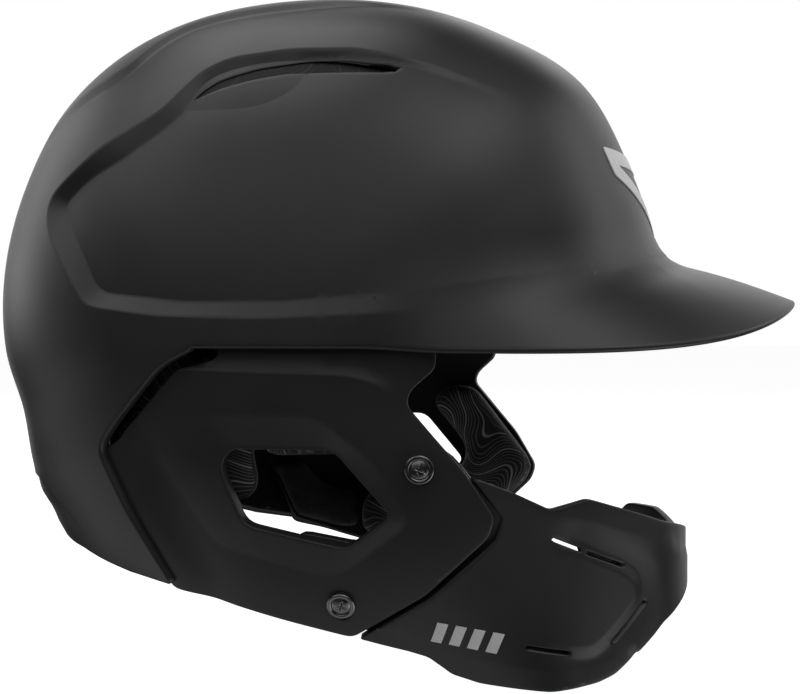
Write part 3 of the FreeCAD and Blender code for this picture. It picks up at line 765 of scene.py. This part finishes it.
def chart_part(flat):
    azimuth = azimuth_of(flat)
    reach = np.hypot(*flat.T)
    band = chart_band(azimuth)
    part = (np.minimum(reach / CHART_DOME, 1) + np.clip((reach - CHART_DOME) / band, 0, 1)
            + np.clip((reach - CHART_DOME - band) / CHART_SKIRT, 0, 1))
    return azimuth, part


def to_chart(points):
    """Chart positions of points of the dome."""
    x, y, z = points.T
    azimuth = azimuth_of(points)
    elevation = np.degrees(np.arctan2(z, np.hypot(x, y)))
    level = level_at(azimuth, CREASE_LEVELS)
    top = elevation_at(azimuth, level)
    part = np.where(z >= level, (90 - elevation) / (90 - top),
                    np.where(z >= BASE_LEVEL, 1 + (level - z) / (level - BASE_LEVEL),
                             2 + (BASE_LEVEL - z) / (BASE_LEVEL - level_at(azimuth, SKIRT_LEVELS))))
    return chart_point(azimuth, part)


def side_line(line, radius, closed=False):
    """A line of X and Z points on the shell's left side, in the chart."""
    x, z = sampled(rounded(line, radius, closed), CHART_STEP, closed).T
    return to_chart(columns(x, half_width(x, z), z))


def crown_line(line):
    """A line of X and Y points on the crown, in the chart."""
    flat = sampled(rounded(line, 6, False), CHART_STEP, False)
    return to_chart(out_to_dome(np.column_stack([flat, np.zeros(len(flat))]), 2))


def bill_edge(azimuth):
    out = around(np.radians(azimuth))
    plan = ((np.abs(out[:, 0]) / FRONT_RADIUS) ** DOME_POWER
            + (np.abs(out[:, 1]) / HALF_WIDTH) ** DOME_POWER) ** (-1 / DOME_POWER)
    reach = plan + BILL_LENGTH * bill_share(azimuth) - 1
    level = BILL_EDGE_LEVEL + BILL_ARCH * np.exp(-(azimuth / BILL_ARCH_SPREAD) ** 2)
    return np.concatenate([out * reach[:, None], level[:, None]], 1)


def shell_surface(flat):
    """The shell's plain outer surface: dome, bill and skirt."""
    azimuth, part = chart_part(flat)
    part = np.where(np.abs(part - 2) < 0.01, 2.0, part)
    level = level_at(azimuth, CREASE_LEVELS)
    top = elevation_at(azimuth, level)
    crease = dome_point(azimuth, top)
    dome = dome_point(azimuth, 90 - (90 - top) * np.minimum(part, 1))
    along = np.clip(part - 1, 0, 1)
    height = level + (BASE_LEVEL - level) * along
    skirt = BASE_LEVEL + (level_at(azimuth, SKIRT_LEVELS) - BASE_LEVEL) * (part - 2)
    height = np.where(part > 2, skirt, height)
    band = dome_at(azimuth, height)
    edge = bill_edge(azimuth)
    blade = crease + (edge - crease) * along[:, None]
    run = np.linalg.norm(edge - crease, axis=1)
    blade[:, 2] += BILL_CAMBER * np.sin(pi * along) * np.minimum(1, run / BILL_LENGTH)
    share = np.where(part > 2, 0, blade_share(azimuth))[:, None]
    return np.where((part <= 1)[:, None], dome, blade * share + band * (1 - share)), azimuth, part


def panel_depth(x):
    return PANEL_DEPTH * (1 - fade(x, *PANEL_FADE))


def recess_top(azimuth):
    """Upper edge of the recess across the back: level, and falling towards its ends."""
    return np.interp(azimuth, (RECESS_START, 137, 144, 180), (-62, -52, -43, -41))


def shell_relief(points, azimuth, part, loops):
    """How far each point is sunk below the plain surface."""
    x, y, z = points.T
    panel = ramp(columns(x, z), *loops) * panel_depth(x)
    crease = dome_at(azimuth, level_at(azimuth, CREASE_LEVELS))
    share = blade_share(azimuth) * (part > 1)
    run_out = panel_depth(crease[:, 0]) * np.clip(2 - part, 0, 1) ** 2
    panel = panel * (1 - share) + run_out * share
    shoulder = left_of(columns(x, np.abs(y)), rounded(SPINE_WALL, 6, False)) / SPINE_WALL_WIDTH
    shoulder = np.clip(shoulder, 0, 1) * SPINE_DEPTH
    shoulder *= (1 - fade(x, *SPINE_FADE)) * fade(z, *SPINE_RISE) * (part < 1)
    reach = np.abs(part - 1) * np.where(part < 1, CHART_DOME, chart_band(azimuth))
    fillet = ROOT_FILLET * np.clip(1 - reach / ROOT_REACH, 0, 1) ** 2 * bill_share(azimuth) ** 0.66
    scoop = SCOOP_DEPTH * np.clip((SCOOP_TOP - z) / SCOOP_HEIGHT, 0, 1) ** 1.5
    scoop *= (1 - fade(z, *SCOOP_LEDGE)) * (1 - fade(np.abs(y), *SCOOP_SIDE)) * (x < 0)
    turn = np.abs(azimuth)
    recess = RECESS_DEPTH * smooth((recess_top(turn) - z) / RECESS_WALL) * (1 - fade(z, *RECESS_FOOT))
    recess *= smooth((turn - RECESS_START) / RECESS_END)
    return panel + shoulder + scoop + recess - fillet


def outer_shell():
    front = chart_point(np.linspace(0, 100, 260), np.full(260, 2.0))
    opening = side_line(OPENING[1:], 5)
    front = front[azimuth_of(front) < azimuth_of(opening[0]) - 0.4]
    bottom = chart_point(np.linspace(azimuth_of(opening[-1]), 180, 60)[1:], np.full(59, 3.0))
    outline = np.vstack([front, opening, bottom, [(0.0, 0.0)]])
    step_loop, floor_loop = rounded(PANEL_STEP, 4), rounded(PANEL_FLOOR, 3)
    angles = np.linspace(0, 80, 160)
    spine = crown_line(SPINE_WALL)
    bill_rows = (0, 1.5, -1.5, 3, -3, 4.6, -4.6)
    creases = [(chart_point(angles, np.full(160, 1.0)), False, bill_rows),
               (side_line(PANEL_STEP, 4, True), True), (side_line(PANEL_FLOOR, 3, True), True),
               (spine, False), (shifted(spine, SPINE_WALL_WIDTH, False), False)]
    azimuths = np.linspace(RECESS_START, 180, 60)
    brow = recess_top(azimuths)
    for level in (brow, brow - RECESS_WALL, *SCOOP_LEDGE, RECESS_FOOT[0], RECESS_FOOT[1] + 0.5):
        creases.append((to_chart(dome_at(azimuths, level)), False))
    flat, faces = triangles(outline, [side_line(VENT, 1.2, True)], creases, 3.0, 1.3, 0.0)
    on_plane = np.abs(flat[:, 1]) < 1e-3
    plain, azimuth, part = shell_surface(flat)
    plain[on_plane, 1] = 0
    relief = shell_relief(plain, azimuth, part, (step_loop, floor_loop))
    wall = SHELL_WALL + (BILL_WALL - SHELL_WALL) * smooth((part - 1) * 2) * blade_share(azimuth)
    wall = wall * (1 - 0.25 * np.clip(part - 1, 0, 1) * blade_share(azimuth))
    both, both_faces = mirrored_sheet(plain, faces, on_plane)
    normals = vertex_normals(both, both_faces, 4)
    outer, inner = (both - normals * np.r_[depth, depth[~on_plane]][:, None] for depth in (relief, wall))
    piece = add_object("shell", *thicken(outer, inner, both_faces, 1.0), SHELL_PLASTIC)
    return settle(piece, "shell_plastic", "outer_shell")


# ---- flaps, guard and marks ----

def plate(name, material, flat, faces, surface, relief, wall, side=-1, radius=PLATE_ROUNDING):
    """Plate over a flat region.  surface gives its points on the right, relief raises them and
    wall is its thickness.  side -1 leaves it on the right and 1 mirrors it to the left."""
    plain = surface(flat)
    if np.sum(vertex_normals(plain, faces) * plain) < 0:
        faces = faces[:, ::-1]
    normals = vertex_normals(plain, faces, 2)
    outer = plain + normals * np.reshape(relief, (-1, 1))
    inner = plain - normals * wall
    if side > 0:
        outer, inner, faces = outer * (1, -1, 1), inner * (1, -1, 1), faces[:, ::-1]
    return add_object(name, *thicken(outer, inner, faces, radius), material)


def flap_surface(inset):
    return lambda flat: columns(flat[:, 0], inset - flap_half_width(*flat.T), flat[:, 1])


def circle(centre, radius, count=28):
    angles = np.linspace(0, 2 * pi, count, endpoint=False)
    return np.array(centre) + radius * around(angles)


def ear_flap(side, name, node):
    hole, mound = rounded(EAR_HOLE, 3.5), rounded(FLAP_MOUND, 5)
    ridge = rounded(FLAP_RIDGE, 4, False)
    screws = [circle(c, 2.6 if side > 0 else 3.1) for c in GUARD_SCREWS]
    creases = [(mound, True), (ridge, False), (ridge - (0, FLAP_RIDGE_WIDTH), False),
               (FLAP_REAR_EDGE, False, (6, 12, 16))]
    flat, faces = triangles(rounded(FLAP, 2.4), [hole] + screws, creases, 2.6, 1.0, PLATE_ROUNDING)
    strip = np.clip(-left_of(flat, ridge) / FLAP_RIDGE_WIDTH, -1, 0)
    strip *= (1 - fade(flat[:, 0], *FLAP_RIDGE_FADE)) * (flat[:, 1] > -20)
    from_rear, _ = line_distance(flat, FLAP_REAR_EDGE, False)
    swept = FLAP_REAR_RISE * smooth(1 - from_rear / FLAP_REAR_REACH)
    relief = FLAP_RIDGE_STEP * strip + FLAP_MOUND_RISE * ramp(flat, mound, hole) + swept
    piece = plate(name, FLAP_PLASTIC, flat, faces, flap_surface(FLAP_INSET), relief, FLAP_WALL, side)
    return settle(piece, "flap_plastic", node)


def guard_plan():
    """Plan curve of the guard's outer face, as closely spaced points and their lengths."""
    knots = np.array(GUARD_PLAN, float)
    before = np.vstack([2 * knots[:1] - knots[1:2], knots[:-1]])
    after = np.vstack([knots[1:], 2 * knots[-1:] - knots[-2:-1]])
    slopes = (after - before) / 2
    points = []
    for i in range(len(knots) - 1):
        for t in np.linspace(0, 1, 24, endpoint=False):
            points.append(cubic(t, knots[i], knots[i + 1], slopes[i], slopes[i + 1]))
    points = np.array(points + [knots[-1]])
    lengths = np.r_[0, np.cumsum(np.hypot(*np.diff(points, axis=0).T))]
    return points, lengths


PLAN, PLAN_LENGTHS = guard_plan()


def guard_surface(inset):
    def surface(flat):
        s, z = flat.T
        point, ahead, back = (columns(*(np.interp(s + step, PLAN_LENGTHS, PLAN[:, k]) for k in (0, 1)))
                              for step in (0, 1, -1))
        along = unit(ahead - back)
        inward = columns(-along[:, 1], along[:, 0])
        hold = 1 - fade(point[:, 0], *GUARD_FREE)
        mid = np.full(len(s), GUARD_MID_LEVEL)
        lean = flap_half_width(point[:, 0], mid) - flap_half_width(point[:, 0], z)
        place = point + inward * (inset + hold * lean)[:, None]
        return np.concatenate([place, z[:, None]], 1)
    return surface


def guard_side(points):
    """Chart positions of X and Z points on the guard's right side."""
    side = PLAN[:, 1] < -30
    return np.array([(np.interp(x, PLAN[side][:, 0], PLAN_LENGTHS[side]), z) for x, z in points])


def guard_front(points):
    """Chart positions of Y and Z points on the guard's front."""
    return np.array([(np.interp(y, PLAN[:, 1], PLAN_LENGTHS), z) for y, z in points])


def jaw_guard():
    outline = np.vstack([guard_side(GUARD_SIDE_TOP), guard_front(GUARD_FRONT_TOP),
                         guard_front(GUARD_FRONT_LOW), guard_side(GUARD_SIDE_LOW)])
    outline = rounded(outline, 1.6)
    slot, *grooves = [rounded(slot_outline(*guard_side([a, b]), width), 0.4)
                      for a, b, width in [GUARD_SLOT] + GUARD_GROOVES]
    island = rounded(guard_side(ISLAND), 5, False)
    foot = shifted(sampled(island, 2, False), ISLAND_SLOPE, False)
    flange, keel = guard_side(FLANGE), guard_side(KEEL)
    creases = [(anticlockwise(groove), True, (0, 0.3, -0.4)) for groove in grooves]
    creases += [(line, False) for line in (island, foot, flange, keel)]
    flat, faces = triangles(outline, [slot], creases, 2.6, 0.9, PLATE_ROUNDING)
    outside = left_of(flat, island)
    step = np.clip(outside / ISLAND_SLOPE, 0, 1) * (1 - smooth((outside - ISLAND_SLOPE) / ISLAND_FAR))
    start = guard_side([(ISLAND_START, 0)])[0][0]
    relief = -ISLAND_STEP * step * smooth((flat[:, 0] - start) / ISLAND_RUN)
    relief -= FLANGE_TILT * np.clip(left_of(flat, flange), 0, FLANGE_REACH)
    relief -= KEEL_TILT * np.clip(-left_of(flat, keel), 0, KEEL_REACH)
    for groove in grooves:
        depth, _ = line_distance(flat, groove)
        relief -= GROOVE_DEPTH * smooth(depth / 0.3) * inside(flat, groove)
    relief = np.maximum(relief, GROOVE_FLOOR - GUARD_WALL)
    piece = plate("guard", GUARD_PLASTIC, flat, faces, guard_surface(0), relief, GUARD_WALL)
    holes = [circle(c, SCREW_HOLE) for c in GUARD_SCREWS]
    flat, faces = triangles(rounded(TAB, 5), holes, (), 2.8, 1.2, PLATE_ROUNDING)
    tab = plate("guard_tab", GUARD_PLASTIC, flat, faces, flap_surface(TAB_INSET), 0, TAB_WALL)
    settle(tab, "guard_plastic")
    return settle(piece, "guard_plastic", "jaw_guard")


def guard_mark():
    """Four slanted bars."""
    for k in range(4):
        x, z = 50.0 + 5.8 * k, -0.9 * k
        corners = [(x, -91.2 + z), (x + 3.4, -91.8 + z), (x + 5.6, -85.2 + z), (x + 2.2, -84.6 + z)]
        flat, faces = triangles(guard_side(corners), (), (), 1.2, 0.8, 0.1)
        bar = plate(f"guard_mark_{k + 1}", MARK_GREY, flat, faces, guard_surface(-0.32), 0, 0.3,
                    radius=0.1)
        settle(bar, "mark_grey", "guard_decal")


def front_mark():
    """Outline of a wide home plate on the forehead."""
    outline = [(-45, 66.5), (45, 66.5), (45, 57), (0, 37), (-45, 57)]
    window = [(-38.5, 61), (38.5, 61), (0, 43.5)]
    flat, faces = triangles(rounded(outline, 1), [rounded(window, 0.8)], (), 2.4, 1.2, 0.2)
    mark = plate("front_mark", MARK_GREY, flat, faces,
                 lambda flat: out_to_dome(np.column_stack([0 * flat[:, 0], flat]), 0), 0.4, 0.3, radius=0.2)
    settle(mark, "mark_grey", "front_emblem")


# ---- screws ----

RING_SEGMENTS = 40
SCREW_TURN = 0.35             # the crosses of both screws stand at this angle
HEAD_RADIUS = 2.95
HEAD_CURVE = (3.4, 1.15)      # half width and height of the ellipse that the head's top follows
HEAD_EDGE = 0.9
HEAD_LIFT = 0.5
CROSS_ARM = 1.75
CROSS_HALF = 0.36
CROSS_DEPTH = 1.2
CROSS_WALL = 0.35


def flap_axis(x, z):
    """Point of the right flap's plain surface, and the direction it faces."""
    step = 2.0
    middle, ahead, back, above, below = (
        float(flap_half_width(np.array(x + i * step), np.array(z + k * step)))
        for i, k in ((0, 0), (1, 0), (-1, 0), (0, 1), (0, -1)))
    outward = unit(np.array([(back - ahead) / (2 * step), -1, (below - above) / (2 * step)]))
    return np.array([x, -middle, z]), outward


def lathe(profile):
    """Ring of points (radius, height) turned about the local Z axis."""
    angles = np.linspace(0, 2 * pi, RING_SEGMENTS, endpoint=False)
    vertices = [(r * cos(a), r * sin(a), h) for r, h in profile for a in angles]
    faces = []
    for k in range(len(profile)):
        near, far = k * RING_SEGMENTS, (k + 1) % len(profile) * RING_SEGMENTS
        for i in range(RING_SEGMENTS):
            j = (i + 1) % RING_SEGMENTS
            faces.append((near + i, near + j, far + j, far + i))
    return vertices, faces


def rounded_ring(inner, outer, low, high, radius):
    """Section of a ring with rounded corners."""
    corners = [(outer - radius, low + radius, -pi / 2), (outer - radius, high - radius, 0),
               (inner + radius, high - radius, pi / 2), (inner + radius, low + radius, pi)]
    return [(r + radius * cos(start + t), h + radius * sin(start + t))
            for r, h, start in corners for t in np.linspace(0, pi / 2, 5)]


def oriented(vertices, origin, axis):
    """Local points placed at origin with local Z along axis."""
    side = unit(np.cross(axis, (0.0, 0.0, 1.0)))
    up = np.cross(side, axis)
    c, s = cos(SCREW_TURN), sin(SCREW_TURN)
    x, y, z = np.asarray(vertices, float).T
    x, y = x * c - y * s, x * s + y * c
    return origin + np.outer(x, side) + np.outer(y, up) + np.outer(z, axis)


def guard_fasteners():
    a, b = CROSS_ARM, CROSS_HALF
    cross = np.array([(a, -b), (a, b), (b, b), (b, a), (-b, a), (-b, b), (-a, b), (-a, -b), (-b, -b),
                      (-b, -a), (b, -a), (b, -b)])
    flat, faces = triangles(circle((0, 0), HEAD_RADIUS, 44), (), [(rounded(cross, 0.25), True)],
                            0.5, 0.3, 0.0)
    half, rise = HEAD_CURVE
    height = rise * np.sqrt(np.maximum(0, 1 - (np.hypot(*flat.T) / half) ** 2))
    from_cross, _ = line_distance(flat, cross)
    height -= CROSS_DEPTH * smooth(from_cross / CROSS_WALL) * inside(flat, cross)
    head = np.column_stack([flat, height])
    under = np.column_stack([flat * 0.9, np.full(len(flat), -HEAD_EDGE)])
    ring, ring_faces = lathe(rounded_ring(3.05, 4.5, -0.3, 1.5, 0.5))
    for k, (x, z) in enumerate(GUARD_SCREWS):
        origin, axis = flap_axis(x, z)
        # The washer stands on the flap's own face, which lies within the plain surface.
        origin = origin + axis * axis[1] * FLAP_INSET
        vertices, all_faces = thicken(head, under, faces, 0.15, 2)
        screw = add_object(f"guard_screw_{k + 1}", oriented(vertices, origin + axis * HEAD_LIFT, axis),
                           all_faces, BLACK_STEEL)
        settle(screw, "black_steel", "guard_screws")
        washer = add_object(f"guard_washer_{k + 1}", oriented(ring, origin, axis), ring_faces, BLACK_STEEL)
        settle(washer, "black_steel", "guard_cup_washers")


# ---- pads ----

CHEEK_PAD = [(25, -23), (34, -16.5), (44.5, -17.5), (67.5, -47), (69, -51), (66.5, -57), (47, -73.5),
             (24, -85.5), (3, -81), (-3, -79.5), (-4, -70), (-3, -63), (22, -64), (38, -52),
             (40.5, -46), (38.8, -40.5)]
REAR_EAR_PAD = [(-58, 7), (-20, 8), (-8, -12), (-4, -43), (-9, -47.5), (-42, -48.5), (-57, -36)]
EAR_FOAM = [(-43, -50), (-30, -49.5), (-27.5, -53), (-22, -58), (-14, -62), (-5, -63.5), (-5, -79),
            (-13, -77.5), (-31, -73)]
CHEEK_TRIM = 3.0              # the right cheek pad ends this much further back than the left one
PAD_INSET = 15.3
PAD_THICKNESS = 6.0
PAD_SKIN = 0.7                # how much the cover swells out on each face
PAD_EDGE = 0.36               # rounding of the edges, as a share of the thickness
EDGING_SLOPE = 0.62           # the edge fabric covers faces turned further aside than this
PRESSURE = 4.0
CLOTH_STIFFNESS = 12
CLOTH_FRAMES = 16


def swell(piece, voxel, cap):
    """The piece puffed up like a stuffed cover, with no point moved by more than cap."""
    modifier = piece.modifiers.new("remesh", "REMESH")
    modifier.mode = "VOXEL"
    modifier.voxel_size = voxel * MM
    modifier.use_smooth_shade = True
    apply_modifiers(piece)
    before = coordinates(piece)
    cloth = piece.modifiers.new("cloth", "CLOTH").settings
    cloth.use_pressure = True
    cloth.uniform_pressure_force = PRESSURE
    cloth.effector_weights.gravity = 0
    cloth.quality = 4
    cloth.tension_stiffness = cloth.compression_stiffness = CLOTH_STIFFNESS
    for f in range(CLOTH_FRAMES):
        bpy.context.scene.frame_set(f + 1)
    apply_modifiers(piece)
    bpy.context.scene.frame_set(1)
    move = coordinates(piece) - before
    length = np.linalg.norm(move, axis=1, keepdims=True)
    limit = cap * MM
    move *= limit * np.tanh(length / limit) / np.maximum(length, 1e-9)
    piece.data.vertices.foreach_set("co", (before + move).astype(np.float32).ravel())
    piece.data.update()
    modifier = piece.modifiers.new("even", "LAPLACIANSMOOTH")
    modifier.iterations = 2
    modifier.lambda_factor = 0.4
    modifier = piece.modifiers.new("finer", "SUBSURF")
    modifier.levels = modifier.render_levels = 1
    apply_modifiers(piece)
    piece.data.shade_smooth()


def coordinates(piece):
    flat = np.zeros(len(piece.data.vertices) * 3, np.float32)
    piece.data.vertices.foreach_get("co", flat)
    return flat.reshape(-1, 3).astype(float)


def apply_modifiers(piece):
    graph = bpy.context.evaluated_depsgraph_get()
    made = bpy.data.meshes.new_from_object(piece.evaluated_get(graph))
    old = piece.data
    piece.modifiers.clear()
    piece.data = made
    bpy.data.meshes.remove(old)


def toward_middle(points):
    return np.zeros(points.shape) + (0, 1, 0)


def toward_centre(points):
    return unit(-points)


def pad(name, node, outline, surface, thickness, side=-1, corner=4.0, cap=1.5, voxel=2.2,
        inward=toward_middle, slot="pad_fabric", material=PAD_FABRIC, edging=EDGE_FABRIC):
    """Stuffed pad over an outline.  surface gives the points of its back, and inward(points)
    the unit direction from back to face."""
    rounding = thickness * PAD_EDGE
    flat, faces = triangles(rounded(outline, corner), (), (), 3.4, 2.0, rounding)
    back = surface(flat)
    toward = inward(back)
    face = back + toward * (thickness - PAD_SKIN)
    back = back + toward * PAD_SKIN
    if np.sum(vertex_normals(face, faces) * toward) < 0:
        faces = faces[:, ::-1]
    vertices, all_faces = thicken(face, back, faces, rounding, 4)
    if side > 0:
        vertices = vertices * (1, -1, 1)
        all_faces = [f[::-1] for f in all_faces]
        toward = toward * (1, -1, 1)
    piece = add_object(name, vertices, all_faces)
    swell(piece, voxel, cap)
    piece.data.materials.clear()
    piece.data.materials.append(material)
    middle = unit(toward.mean(0))
    if edging:
        piece.data.materials.append(edging)
        for polygon in piece.data.polygons:
            polygon.material_index = int(abs(np.dot(polygon.normal, middle)) < EDGING_SLOPE)
    settle(piece, slot, node)


def dome_pad(name, node, half_size, shift, direction, axes, corner, side=-1):
    """Pad on the dome, PAD_INSET in.  Its outline is a rectangle in the plane of two axes at
    direction, and rays from the head centre carry it to the dome."""
    direction = np.array(direction, float)
    across, up = np.eye(3)[list(axes)]
    (a, b), (x, y) = half_size, shift

    def surface(flat):
        rays = direction + flat[:, :1] * across + flat[:, 1:] * up
        return dome_along(rays) - unit(rays) * PAD_INSET

    outline = [(x - a, y - b), (x + a, y - b), (x + a, y + b), (x - a, y + b)]
    pad(name, node, outline, surface, PAD_THICKNESS, side, corner, inward=toward_centre)


def pads():
    for side, hand, cheek_inset in ((-1, "right", 12.8), (1, "left", 8.4)):
        trim = CHEEK_TRIM if side < 0 else 0
        cheek = [(x - trim if x > 44 else x, z) for x, z in CHEEK_PAD]
        pad(f"cheek_cushion_{hand}", f"cheek_pad_{hand}", cheek, flap_surface(cheek_inset), 12.0,
            side, cap=2.5)
        pad(f"rear_ear_cushion_{hand}", f"rear_ear_pad_{hand}", REAR_EAR_PAD, flap_surface(11.8), 8.5,
            side)
        pad(f"ear_block_{hand}", f"ear_foam_{hand}", EAR_FOAM, flap_surface(8.6), 8.6, side, cap=0.8,
            voxel=2.0, slot="ear_foam", material=EAR_FOAM_MATERIAL, edging=None)
        dome_pad(f"temple_cushion_{hand}", f"temple_pad_{hand}", (41, 16), (3, 28), (0, -84, 0), (0, 2),
                 10, side)
    dome_pad("brow_cushion", "brow_pad", (64, 12), (0, 42), (102, 0, 0), (1, 2), 9)
    dome_pad("rear_cushion", "rear_pad", (52, 20.5), (0, -26.5), (-94, 0, 0), (1, 2), 12)
    dome_pad("crown_cushion", "crown_pad", (44, 30), (0, 0), (0, 0, 106), (0, 1), 16)


# ---- stage ----

CAMERA_TARGET = (0.026, 0.0, 0.0)
CAMERA_TURN = 9.56            # degrees towards the bill from square to the right side
CAMERA_RISE = 0.8
CAMERA_DISTANCE = 0.528
CAMERA_LENS = 64.5


LAMP_TARGET = (0.02, 0.0, 0.02)
# Area lamps of an even glow: name, place, size, and glow where 1 is as bright as white paper.
LAMPS = [("back_wall", (0.0, 1.5, 0.35), (3.2, 1.8), 1.0),
         ("top", (-0.35, 0.15, 1.1), (0.9, 0.7), 2.1),
         ("rear_upper", (-0.9, -0.6, 0.9), (0.8, 0.8), 1.45),
         ("front_rim", (1.1, 0.35, 0.5), (0.6, 0.9), 1.8),
         ("front_upper", (0.7, -0.55, 1.05), (0.9, 0.9), 1.75),
         ("upper_front", (0.3, -0.8, 1.2), (1.0, 0.7), 1.0),
         ("rear_rim", (-1.2, 0.3, 0.45), (0.8, 1.0), 2.0),
         ("fill", (-0.2, -1.4, 0.7), (1.8, 0.9), 0.68),
         ("under_rear", (-1.1, -0.2, -0.6), (0.9, 0.9), 0.75),
         ("under_front", (1.0, -0.25, -0.75), (0.9, 0.9), 1.6),
         ("under", (0.0, -0.3, -1.0), (2.0, 1.2), 0.42),
         ("back_upper", (0.2, 1.15, 0.75), (0.5, 0.35), 1.9)]
FLOOR_GAP = 0.0012
FLOOR_HALF_SIZE = 9000.0


def aimed(data, place, target):
    """A camera or lamp at place, looking at target."""
    item = bpy.data.objects.new(data.name, data)
    item.location = place
    item.rotation_mode = "QUATERNION"
    item.rotation_quaternion = (Vector(target) - Vector(place)).to_track_quat("-Z", "Y")
    bpy.context.scene.collection.objects.link(item)
    return item


def camera():
    a, e = radians(CAMERA_TURN), radians(CAMERA_RISE)
    back = Vector((sin(a) * cos(e), -cos(a) * cos(e), sin(e)))
    data = bpy.data.cameras.new("camera")
    data.lens = CAMERA_LENS
    data.clip_start, data.clip_end = 0.01, 50
    place = Vector(CAMERA_TARGET) + back * CAMERA_DISTANCE
    bpy.context.scene.camera = aimed(data, place, CAMERA_TARGET)


def studio():
    scene = bpy.context.scene
    scene.view_settings.view_transform = "Standard"
    world = bpy.data.worlds.new("studio")
    world.use_nodes = True
    scene.world = world
    background = world.node_tree.nodes["Background"]
    background.inputs["Color"].default_value = (1, 1, 1, 1)
    background.inputs["Strength"].default_value = 1.0
    world.cycles_visibility.diffuse = False
    world.cycles_visibility.glossy = False
    level, far = (cad_box[0].z - FLOOR_GAP) / MM, FLOOR_HALF_SIZE
    floor = add_object("floor", [(-far, -far, level), (far, -far, level), (far, far, level),
                                 (-far, far, level)], [(0, 1, 2, 3)])
    floor.visible_diffuse = floor.visible_glossy = floor.visible_shadow = False
    n = Nodes("floor", roughness=0.9, base_color=grey(0.3), emission_color=grey(1.0),
              emission_strength=0.97, specular_ior_level=0.1)
    floor.data.materials.append(n.material)
    for name, place, size, glow in LAMPS:
        data = bpy.data.lights.new(name, "AREA")
        data.shape = "RECTANGLE"
        data.size, data.size_y = size
        data.energy = glow * pi * size[0] * size[1]
        aimed(data, place, LAMP_TARGET).visible_camera = False


# ---- the scene ----

camera()
studio()
outer_shell()
ear_flap(-1, "flap_right", "ear_flap_right")
ear_flap(1, "flap_left", "ear_flap_left")
jaw_guard()
guard_mark()
front_mark()
guard_fasteners()
pads()

# The crown liner takes the darker copy of the print, which paints the shade inside the helmet.
NODE_MATERIALS = {LINER_FOAM: ("liner_front", "liner_rear"), LINER_PRINT: ("liner_right", "liner_left"),
                  CROWN_PRINT_PAINTED_SHADE: ("liner_crown",), HOOK_NYLON: ("pad_hook_discs",),
                  BLACK_STEEL: ("flap_screws_right", "flap_screws_left"), ZINC_STEEL: ("guard_tee_nuts",)}
for material, nodes in NODE_MATERIALS.items():
    for node in nodes:
        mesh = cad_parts[node].data
        mesh.materials.clear()
        mesh.materials.append(material)
